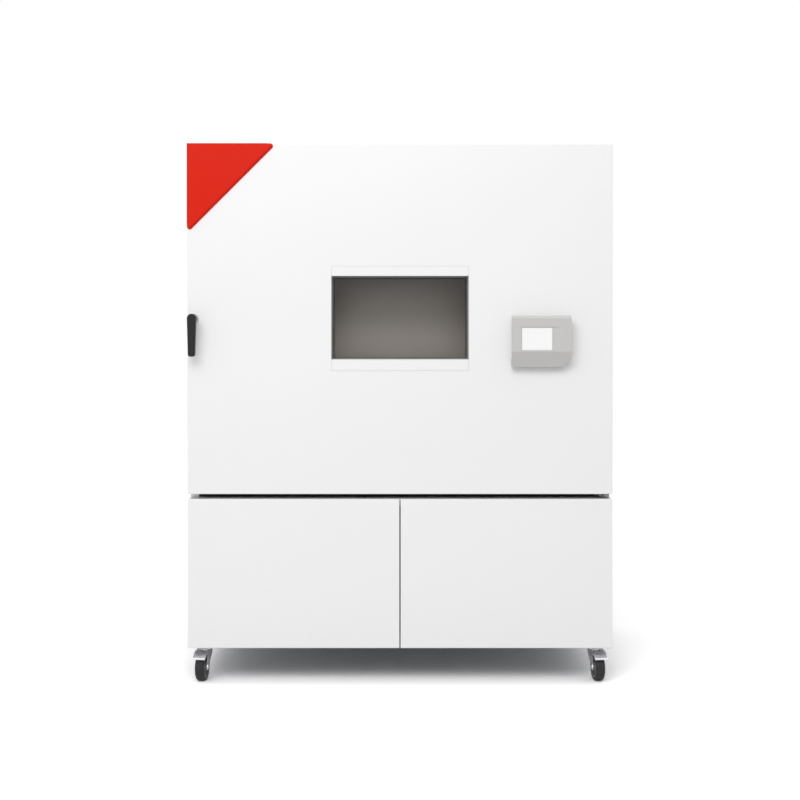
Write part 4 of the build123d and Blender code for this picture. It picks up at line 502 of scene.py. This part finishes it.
def make_finishes(look):
    """All materials by slot, from the colours in the look settings."""
    panel = [c * PANEL_SHADE for c in look.coat]
    control_back = [c * CONTROL_BACK_SHADE for c in look.control]
    made = (
        ("white_coat", powder_coat, panel, {}),
        ("white_door_coat", powder_coat, look.coat, {}),
        ("red_coat", powder_coat, look.corner, dict(roughness=0.42, peel=320.0, specular=0.12, coat=0.0)),
        ("grey_coat", powder_coat, (0.36, 0.37, 0.38), dict(roughness=0.5, peel=200.0)),
        ("black_coat", powder_coat, (0.02, 0.02, 0.022), dict(roughness=0.4, peel=200.0)),
        ("galvanised", sheet_zinc, (0.52, 0.54, 0.55), {}),
        ("zinc_bright", plated_metal, look.zinc, {}),
        ("zinc_dull", plated_metal, (0.30, 0.30, 0.31), dict(roughness=0.45)),
        ("stainless", brushed_metal, look.stainless, {}),
        ("foam", foam, (0.74, 0.71, 0.62), {}),
        ("silicone_grey", rubber, look.seal, dict(roughness=0.62)),
        ("silicone_white", rubber, (0.74, 0.74, 0.71), dict(roughness=0.55)),
        ("glass", coated_glass, look.glass, dict(alpha=look.glass_density)),
        ("lever_plastic", moulded_plastic, look.lever, dict(roughness=0.4)),
        ("control_plastic", moulded_plastic, look.control, dict(roughness=0.38)),
        ("control_back", moulded_plastic, control_back, dict(roughness=0.42)),
        ("screen", display, look.screen, {}),
        ("tyre_rubber", rubber, look.tyre, dict(roughness=0.6)),
        ("aluminium_fin", brushed_metal, (0.72, 0.73, 0.74), dict(roughness=0.35, stretch=(60.0, 60.0, 1.0))),
        ("copper_tube", copper, (0.72, 0.35, 0.2), {}),
        ("black_plastic", moulded_plastic, (0.03, 0.03, 0.032), dict(roughness=0.45)),
        ("box_plastic", moulded_plastic, (0.5, 0.51, 0.51), dict(roughness=0.5, grain=500.0)),
        ("brass_fitting", brushed_metal, (0.75, 0.55, 0.25), dict(roughness=0.28, stretch=(40.0, 1.0, 40.0))),
        ("wheel_disc", moulded_plastic, (0.16, 0.16, 0.17), dict(roughness=0.45, grain=700.0)),
    )
    for name, make, colour, settings in made:
        FINISHES[name] = make(name, colour, **settings)


# Settings


class ChamberLook(bpy.types.PropertyGroup):
    """Colours of the chamber's finishes."""

    coat: bpy.props.FloatVectorProperty(
        name="Powder coat", description="White coat of the door and panels", subtype="COLOR", default=(0.9, 0.9, 0.905))
    corner: bpy.props.FloatVectorProperty(
        name="Corner plate", description="Red of the corner plate", subtype="COLOR", default=(0.70, 0.015, 0.003))
    stainless: bpy.props.FloatVectorProperty(
        name="Stainless steel", description="Chamber lining", subtype="COLOR", default=(0.60, 0.585, 0.565))
    zinc: bpy.props.FloatVectorProperty(
        name="Zinc plate", description="Caster forks and brackets", subtype="COLOR", default=(0.82, 0.82, 0.83))
    seal: bpy.props.FloatVectorProperty(
        name="Door seal", description="Silicone of the door seal", subtype="COLOR", default=(0.2, 0.2, 0.205))
    glass: bpy.props.FloatVectorProperty(
        name="Glass", description="Tint of the window", subtype="COLOR", default=(0.06, 0.048, 0.036))
    glass_density: bpy.props.FloatProperty(
        name="Glass density", description="How much of the light one pane stops", subtype="FACTOR", min=0.0, max=1.0,
        default=0.16)
    lever: bpy.props.FloatVectorProperty(
        name="Lever", description="Lever plastic", subtype="COLOR", default=(0.012, 0.012, 0.0115))
    control: bpy.props.FloatVectorProperty(
        name="Controller", description="Controller housing", subtype="COLOR", default=(0.58, 0.575, 0.565))
    screen: bpy.props.FloatVectorProperty(
        name="Screen", description="Pale display", subtype="COLOR", default=(0.85, 0.85, 0.85))
    tyre: bpy.props.FloatVectorProperty(
        name="Tyre", description="Wheel rubber", subtype="COLOR", default=(0.022, 0.022, 0.023))


class ChamberFit(bpy.types.PropertyGroup):
    """Sizes of the fine pieces."""

    bead: bpy.props.FloatProperty(
        name="Glazing bead", description="Height of the rubber bead on the glass", unit="LENGTH", default=0.005)
    seal_lip: bpy.props.FloatProperty(
        name="Seal lip", description="Radius of the lips on the door seal", unit="LENGTH", default=0.0025)
    screw_radius: bpy.props.FloatProperty(
        name="Screw", description="Radius of a screw's head", unit="LENGTH", default=0.005)
    fins: bpy.props.IntProperty(
        name="Fins", description="Fins in the condenser", default=120, min=10, max=400)


class ChamberStudio(bpy.types.PropertyGroup):
    """Camera and light."""

    distance: bpy.props.FloatProperty(
        name="Distance", description="From the lens to the door's face", unit="LENGTH", default=5.0)
    eye: bpy.props.FloatProperty(
        name="Eye height", description="Height of the lens over the floor", unit="LENGTH", default=1.276)
    lens: bpy.props.FloatProperty(
        name="Lens", description="Focal length on a 36 mm sensor, in millimetres", default=60.53)
    shift: bpy.props.FloatProperty(
        name="Shift", description="Vertical shift of the lens, as a share of the frame", default=-0.075)
    sky: bpy.props.FloatProperty(
        name="Sky", description="Strength of the even light from above", default=0.84)
    horizon: bpy.props.FloatProperty(
        name="Horizon", description="Light from the horizon as a share of the light from above", default=0.45)
    key: bpy.props.FloatProperty(
        name="Key", description="Power of the large front lamp, in watts", default=155.0)
    inner: bpy.props.FloatProperty(
        name="Chamber lamp", description="Power of the lamp inside the chamber, in watts", default=0.22)


# Operators


class CHAMBER_OT_finishes(bpy.types.Operator):
    """Gives every carried-over solid its material"""

    bl_idname = "chamber.finishes"
    bl_label = "Finishes"

    def execute(self, context):
        make_finishes(context.scene.chamber_look)
        for part in frame["record"]["subparts"]:
            materials = NODES[part["node"]].data.materials
            materials.clear()
            materials.append(FINISHES[NODE_FINISHES.get(part["node"], part["material_slot"])])
        return {"FINISHED"}


class CHAMBER_OT_glazing(bpy.types.Operator):
    """Adds the rubber beads that hold the window's panes"""

    bl_idname = "chamber.glazing"
    bl_label = "Glazing beads"

    def execute(self, context):
        size = context.scene.chamber_fit.bead
        outer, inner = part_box("window_outer_pane"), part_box("window_inner_pane")
        path = rounded_path((outer[0].x, outer[0].z), (outer[1].x, outer[1].z), PANE_CORNER, steps=5)
        bead = [(-TOUCH, 0.0), *((n * size, d * size) for n, d in BEAD), (-TOUCH, -size)]
        flipped = [(n, -d) for n, d in bead]
        for name, profile, y in (("glazing_bead_outer", bead, outer[0].y - TOUCH),
                                 ("glazing_bead_inner", flipped, inner[1].y + TOUCH)):
            place_piece(name, carried(name, profile, path, y), "door", "silicone_grey")
        return {"FINISHED"}


class CHAMBER_OT_door_seal(bpy.types.Operator):
    """Adds the two soft lips that run round the door seal"""

    bl_idname = "chamber.door_seal"
    bl_label = "Seal lips"

    def execute(self, context):
        width = context.scene.chamber_fit.seal_lip
        height = width * LIP_FLATNESS
        low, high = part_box("door_gasket")
        for index, inset in enumerate(SEAL_INSETS):
            path = rounded_path((low.x + inset, low.z + inset), (high.x - inset, high.z - inset), SEAL_CORNER - inset)
            name = f"seal_lip_{index + 1}"
            mesh = carried(name, oval_profile(width, height), path, high.y - height)
            place_piece(name, mesh, "door", "silicone_grey")
        return {"FINISHED"}


class CHAMBER_OT_slot_seal(bpy.types.Operator):
    """Adds the ribbed black strip that closes the slot behind the door's lower edge: partly a seal, partly painted
    shade, as its black stands in for the shadow in the slot

    It is a profile carried straight along X: place(u, v) = (x(u), face - thickness * t(v), foot + rise * h(v))."""

    bl_idname = "chamber.slot_seal"
    bl_label = "Slot seal"

    def execute(self, context):
        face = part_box("front_frame")
        foot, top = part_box("service_deck")[1].z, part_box("door_skin")[0].z
        end = face[1].x - STRIP_INSET
        height, proud = np.array(SLOT_RIBS).T
        points = np.empty((2, height.size, 3))
        points[..., 0] = np.array((-end, end))[:, None]
        points[..., 1] = face[0].y - TOUCH - proud * STRIP_THICKNESS
        points[..., 2] = foot + TOUCH + height * (top - foot)
        # Painted shade: the strip is black all over, in place of the shadow that falls in the slot behind the door's
        # lower edge
        mesh = skin("slot_seal", points, close_v=True, cap=True)
        place_piece("slot_seal", mesh, "cabinet", "black_plastic", "tyre_rubber")
        return {"FINISHED"}


class CHAMBER_OT_wheels(bpy.types.Operator):
    """Adds the wheel discs and the swivel bearings of the casters"""

    bl_idname = "chamber.wheels"
    bl_label = "Caster details"

    def execute(self, context):
        for name in CASTER_NAMES:
            spin, swivel = JOINTS[f"{name}_wheel_spin"], JOINTS[f"{name}_swivel"]
            discs = [turned("disc", WHEEL_DISC, spin["pos_m"], np.array(spin["axis"]) * side) for side in (-1, 1)]
            mesh = joined("disc", discs)
            place_piece(f"wheel_disc_{name}", mesh, f"wheel_body_{name}", "black_plastic", "wheel_disc")
            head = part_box(f"fork_{name}")[1].z
            race = turned("race", SWIVEL_RACE, (*swivel["pos_m"][:2], head), (0, 0, 1))
            place_piece(f"swivel_race_{name}", race, f"fork_body_{name}", "zinc_bright")
        return {"FINISHED"}


class CHAMBER_OT_fins(bpy.types.Operator):
    """Fills the condenser and the cooling coil with thin waved fins"""

    bl_idname = "chamber.fins"
    bl_label = "Coil fins"

    def execute(self, context):
        count = context.scene.chamber_fit.fins
        low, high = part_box("condenser")
        condenser = ((low.x + CONDENSER_SIDE, high.y - CONDENSER_DEPTH, low.z + CONDENSER_END),
                     (high.x - CONDENSER_SIDE, high.y - FIN_GAP, high.z - CONDENSER_END))
        low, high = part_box("evaporator")
        evaporator = ((low.x + COIL_SIDE, low.y + FIN_GAP, low.z + COIL_FOOT),
                      (high.x - COIL_SIDE, low.y + COIL_DEPTH, high.z - COIL_TOP))
        for name, room in (("condenser_fins", condenser), ("evaporator_fins", evaporator)):
            place_piece(name, fin_row(name, *room, count), "cabinet", "aluminium_fin")
        return {"FINISHED"}


class CHAMBER_OT_screws(bpy.types.Operator):
    """Adds domed screws to the rear panels and the latch keeper"""

    bl_idname = "chamber.screws"
    bl_label = "Screws"

    def execute(self, context):
        radius = context.scene.chamber_fit.screw_radius
        low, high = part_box("rear_screws")
        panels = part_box("lower_rear_panel"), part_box("upper_rear_panel")
        edge = low.x - panels[0][0].x + radius
        centres = [(x, high.y - SCREW_SEAT, z)
                   for foot, top in panels
                   for z in np.linspace(foot.z + edge, top.z - edge, SCREW_ROWS)
                   for x in (low.x + radius, high.x - radius)]
        mesh = screw_heads("screws", centres, (0, 1, 0), radius * HEAD_SHARE)
        piece = place_piece("rear_panel_screws", mesh, "cabinet", "zinc_bright")
        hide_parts("rear_screws")
        low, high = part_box("latch_keeper")
        middle = (low.z + high.z) / 2
        centres = [(low.x + KEEPER_INSET, high.y - KEEPER_SEAT, middle + side * KEEPER_SPREAD) for side in (-1, 1)]
        mesh = screw_heads("screws", centres, (0, -1, 0), KEEPER_SCREW)
        place_piece("keeper_screws", mesh, "cabinet", "zinc_bright")
        return {"FINISHED"}


class CHAMBER_OT_controller(bpy.types.Operator):
    """Adds the raised frame round the display"""

    bl_idname = "chamber.controller"
    bl_label = "Display frame"

    def execute(self, context):
        low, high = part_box("touch_screen")
        path = rounded_path((low.x - TOUCH, low.z - TOUCH), (high.x + TOUCH, high.z + TOUCH), DISPLAY_CORNER, steps=4)
        mesh = carried("display_frame", DISPLAY_FRAME, path, low.y)
        place_piece("display_frame", mesh, "door", "control_plastic")
        return {"FINISHED"}


class CHAMBER_OT_fittings(bpy.types.Operator):
    """Adds the barbs of the hose spigot, the ribbed cap of the cable gland and the grip rings of the port plug"""

    bl_idname = "chamber.fittings"
    bl_label = "Fittings"

    def execute(self, context):
        spigot, entry = MOUNTS["drain_spigot"], MOUNTS["cable_entry"]
        x, _, z = spigot["pos_m"]
        radius = spigot["dims"]["r_mm"] / 1000
        tip = (x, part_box("drain_outlet")[1].y - SPIGOT_TIP, z)
        barbs = [(radius, height) for height in BARB_FOOT]
        barbs += [(radius + outwards, start + along) for start in BARB_STARTS for outwards, along in BARB]
        mesh = turned("spigot_barbs", barbs, tip, (0, 1, 0), steps=40)
        place_piece("spigot_barbs", mesh, "cabinet", "brass_fitting")
        x, _, z = entry["pos_m"]
        rear = (x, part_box("power_gland")[1].y, z)
        mesh = turned("gland_cap", GLAND_CAP, rear, (0, 1, 0), steps=96, ripple=GLAND_RIB, ribs=GLAND_RIBS)
        place_piece("gland_cap", mesh, "cabinet", "black_plastic")
        low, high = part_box("port_plug")
        middle, rim = (low + high) / 2, (high.y - low.y) / 2
        rings = [hoop((low.x + inset, middle.y, middle.z), (1, 0, 0), rim, PLUG_RING_WIRE, steps=72, sides=10)
                 for inset in PLUG_RING_INSETS]
        place_piece("plug_rings", joined("rings", rings), "plug", "silicone_white")
        return {"FINISHED"}


class CHAMBER_OT_chamber_welds(bpy.types.Operator):
    """Adds the polished weld fillets along the corners of the chamber

    A fillet's section is a quarter arc, (1 - sin a, 1 - cos a) legs from two walls, closed at their corner."""

    bl_idname = "chamber.chamber_welds"
    bl_label = "Weld fillets"

    def execute(self, context):
        low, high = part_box("air_baffle")
        ends = (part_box("front_frame")[0].y + WELD_FRONT, low.y - WELD_BACK)
        angle = np.linspace(0.0, math.pi / 2, WELD_STEPS)
        from_side, from_level = (WELD_SINK - WELD_LEG * np.append(1 - share, 0.0)
                                 for share in (np.sin(angle), np.cos(angle)))
        fillets = []
        for side, wall in ((-1, low.x), (1, high.x)):
            for level, plate in ((-1, low.z), (1, high.z)):
                x, z = wall + side * from_side, plate + level * from_level
                rows = [np.stack([x, np.full_like(x, y), z], axis=-1) for y in ends]
                fillets.append(skin("fillet", np.stack(rows), close_v=True, cap=True))
        place_piece("weld_fillets", joined("fillets", fillets), "cabinet", "stainless")
        return {"FINISHED"}


class CHAMBER_OT_fan_guard(bpy.types.Operator):
    """Adds the domed wire guard over the fan's inlet

    Rings and spokes lie on the dome y(r) = wall - wire - rise * (1 - (r / reach) ** 2)."""

    bl_idname = "chamber.fan_guard"
    bl_label = "Fan guard"

    def execute(self, context):
        low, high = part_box("circulation_fan")
        x, z = (low.x + high.x) / 2, (low.z + high.z) / 2
        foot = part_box("air_baffle")[0].y - GUARD_WIRE - TOUCH

        def dome(radius):
            return foot - GUARD_RISE * (1 - (radius / GUARD_REACH) ** 2)

        wires = [hoop((x, dome(radius), z), (0, -1, 0), radius, GUARD_WIRE, steps=56, sides=8)
                 for radius in np.linspace(GUARD_EYE, GUARD_REACH, GUARD_RINGS)]
        radius = np.linspace(-GUARD_REACH, GUARD_REACH, SPOKE_STEPS)
        front = dome(radius) - SPOKE_LIFT * GUARD_WIRE
        for turn in np.arange(GUARD_SPOKES) * math.pi / GUARD_SPOKES:
            spoke = np.stack([x + radius * math.cos(turn), front, z + radius * math.sin(turn)], axis=-1)
            wires.append(tube("spoke", spoke, GUARD_WIRE, sides=8))
        place_piece("fan_guard", joined("guard", wires), "cabinet", "stainless")
        return {"FINISHED"}


class CHAMBER_OT_studio(bpy.types.Operator):
    """Sets up the floor, the lamps, the sky and the camera"""

    bl_idname = "chamber.studio"
    bl_label = "Studio"

    def execute(self, context):
        studio = context.scene.chamber_studio
        make_floor()
        make_sky(studio)
        make_lamps(studio)
        make_camera(studio)
        context.scene.view_settings.view_transform = "Standard"
        return {"FINISHED"}


def ray_mask(tree):
    """Light-path factor: 1 where a ray comes from the camera, a mirror or glass."""
    path = tree.nodes.new("ShaderNodeLightPath")
    total = path.outputs["Is Camera Ray"]
    for name in ("Is Glossy Ray", "Is Transmission Ray"):
        larger = tree.nodes.new("ShaderNodeMath")
        larger.operation = "MAXIMUM"
        tree.links.new(total, larger.inputs[0])
        tree.links.new(path.outputs[name], larger.inputs[1])
        total = larger.outputs[0]
    return total


def mix_by_ray(tree, plain, shown, surface):
    """Joins two shaders into a surface socket: one for what rays see, the other for the light that it gives."""
    mix = tree.nodes.new("ShaderNodeMixShader")
    for source, socket in ((ray_mask(tree), mix.inputs[0]), (plain.outputs[0], mix.inputs[1]),
                           (shown.outputs[0], mix.inputs[2]), (mix.outputs[0], surface)):
        tree.links.new(source, socket)


def make_floor():
    """A wide pale floor that keeps the shadow: place(u, v) = (u, v, 0)."""
    span = np.linspace(-FLOOR_REACH, FLOOR_REACH, FLOOR_STEPS)
    x, y = np.meshgrid(span, span, indexing="ij")
    floor = link_object("floor", skin("floor", np.stack([x, y, np.zeros_like(x)], axis=-1)))
    paint = bpy.data.materials.new("floor_paint")
    paint.use_nodes = True
    tree = paint.node_tree
    tree.nodes.clear()
    shown, plain, output = (tree.nodes.new(kind) for kind in (
        "ShaderNodeBsdfDiffuse", "ShaderNodeBsdfDiffuse", "ShaderNodeOutputMaterial"))
    shown.inputs["Color"].default_value = FLOOR_SHOWN
    plain.inputs["Color"].default_value = FLOOR_PLAIN
    mix_by_ray(tree, plain, shown, output.inputs["Surface"])
    floor.data.materials.append(paint)


def make_sky(studio):
    """Even light all round that is weaker from low down, seen as plain white."""
    world = bpy.data.worlds.new("studio_sky")
    world.use_nodes = True
    bpy.context.scene.world = world
    tree = world.node_tree
    light, white, place, parts, rise = (tree.nodes["Background"], *(tree.nodes.new(kind) for kind in (
        "ShaderNodeBackground", "ShaderNodeTexCoord", "ShaderNodeSeparateXYZ", "ShaderNodeMapRange")))
    tree.links.new(place.outputs["Generated"], parts.inputs[0])
    tree.links.new(parts.outputs["Z"], rise.inputs["Value"])
    for name, value in zip(("From Min", "From Max", "To Min", "To Max"),
                           (*SKY_RISE, studio.sky * studio.horizon, studio.sky)):
        rise.inputs[name].default_value = value
    tree.links.new(rise.outputs[0], light.inputs["Strength"])
    for background in (light, white):
        background.inputs["Color"].default_value = (*WHITE, 1.0)
    white.inputs["Strength"].default_value = 1.0
    mix_by_ray(tree, light, white, tree.nodes["World Output"].inputs["Surface"])


def make_lamps(studio):
    """A large soft lamp over the camera, and a small one in the chamber's mouth.

    The small one stands a little under the place where the camera sees it mirrored in the chamber's rear wall,
    through the middle of the window."""
    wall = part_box("air_baffle")[0].y
    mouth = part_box("front_frame")[1].y + MOUTH_LAMP_INSET
    low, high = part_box("window_inner_pane")
    eye = Vector((0.0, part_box("door_skin")[0].y - studio.distance, studio.eye))
    sight = (low + high) / 2 - eye
    inside = eye + sight * ((2 * wall - mouth - eye.y) / sight.y)
    inside = Vector((inside.x, mouth, inside.z - MOUTH_LAMP_DROP))
    for name, size, power, tint, place, aim in (
            ("key", KEY_SIZE, studio.key, WHITE, KEY_PLACE, KEY_AIM),
            ("chamber_lamp", MOUTH_LAMP_SIZE, studio.inner, WARM, inside, (inside.x, wall, inside.z))):
        data = bpy.data.lights.new(name, "AREA")
        data.color = tint
        data.shape = "RECTANGLE"
        data.size, data.size_y = size
        data.energy = power
        lamp = link_object(name, data)
        lamp.location = place
        lamp.rotation_euler = (Vector(aim) - Vector(place)).to_track_quat("-Z", "Y").to_euler()
        lamp.visible_camera = False


def make_camera(studio):
    """Level camera in front of the door, with its lens shifted down."""
    data = bpy.data.cameras.new("camera")
    data.lens = studio.lens
    data.sensor_width = SENSOR_WIDTH
    data.shift_y = studio.shift
    data.clip_end = CLIP_END
    camera = link_object("camera", data)
    camera.location = (0.0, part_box("door_skin")[0].y - studio.distance, studio.eye)
    camera.rotation_euler = (math.pi / 2, 0.0, 0.0)
    bpy.context.scene.camera = camera


# Panel and registration


PIECES = (
    CHAMBER_OT_finishes,
    CHAMBER_OT_glazing,
    CHAMBER_OT_door_seal,
    CHAMBER_OT_slot_seal,
    CHAMBER_OT_wheels,
    CHAMBER_OT_fins,
    CHAMBER_OT_screws,
    CHAMBER_OT_controller,
    CHAMBER_OT_fittings,
    CHAMBER_OT_chamber_welds,
    CHAMBER_OT_fan_guard,
    CHAMBER_OT_studio,
)


class CHAMBER_PT_panel(bpy.types.Panel):
    """Lists the chamber's operators and settings"""

    bl_label = "Test chamber"
    bl_idname = "CHAMBER_PT_panel"
    bl_space_type = "VIEW_3D"
    bl_region_type = "UI"
    bl_category = "Chamber"

    def draw(self, context):
        for piece in PIECES:
            self.layout.operator(piece.bl_idname)
        for group in (context.scene.chamber_look, context.scene.chamber_fit, context.scene.chamber_studio):
            box = self.layout.box()
            for name in group.__annotations__:
                box.prop(group, name)


GROUPS = {"chamber_look": ChamberLook, "chamber_fit": ChamberFit, "chamber_studio": ChamberStudio}


def register():
    for group in (*GROUPS.values(), *PIECES, CHAMBER_PT_panel):
        bpy.utils.register_class(group)
    for name, group in GROUPS.items():
        setattr(bpy.types.Scene, name, bpy.props.PointerProperty(type=group))


def unregister():
    for name in GROUPS:
        delattr(bpy.types.Scene, name)
    for group in reversed((*GROUPS.values(), *PIECES, CHAMBER_PT_panel)):
        bpy.utils.unregister_class(group)


def main():
    register()
    for piece in PIECES:
        space, name = piece.bl_idname.split(".")
        getattr(getattr(bpy.ops, space), name)()


if __name__ == "__main__":
    main()
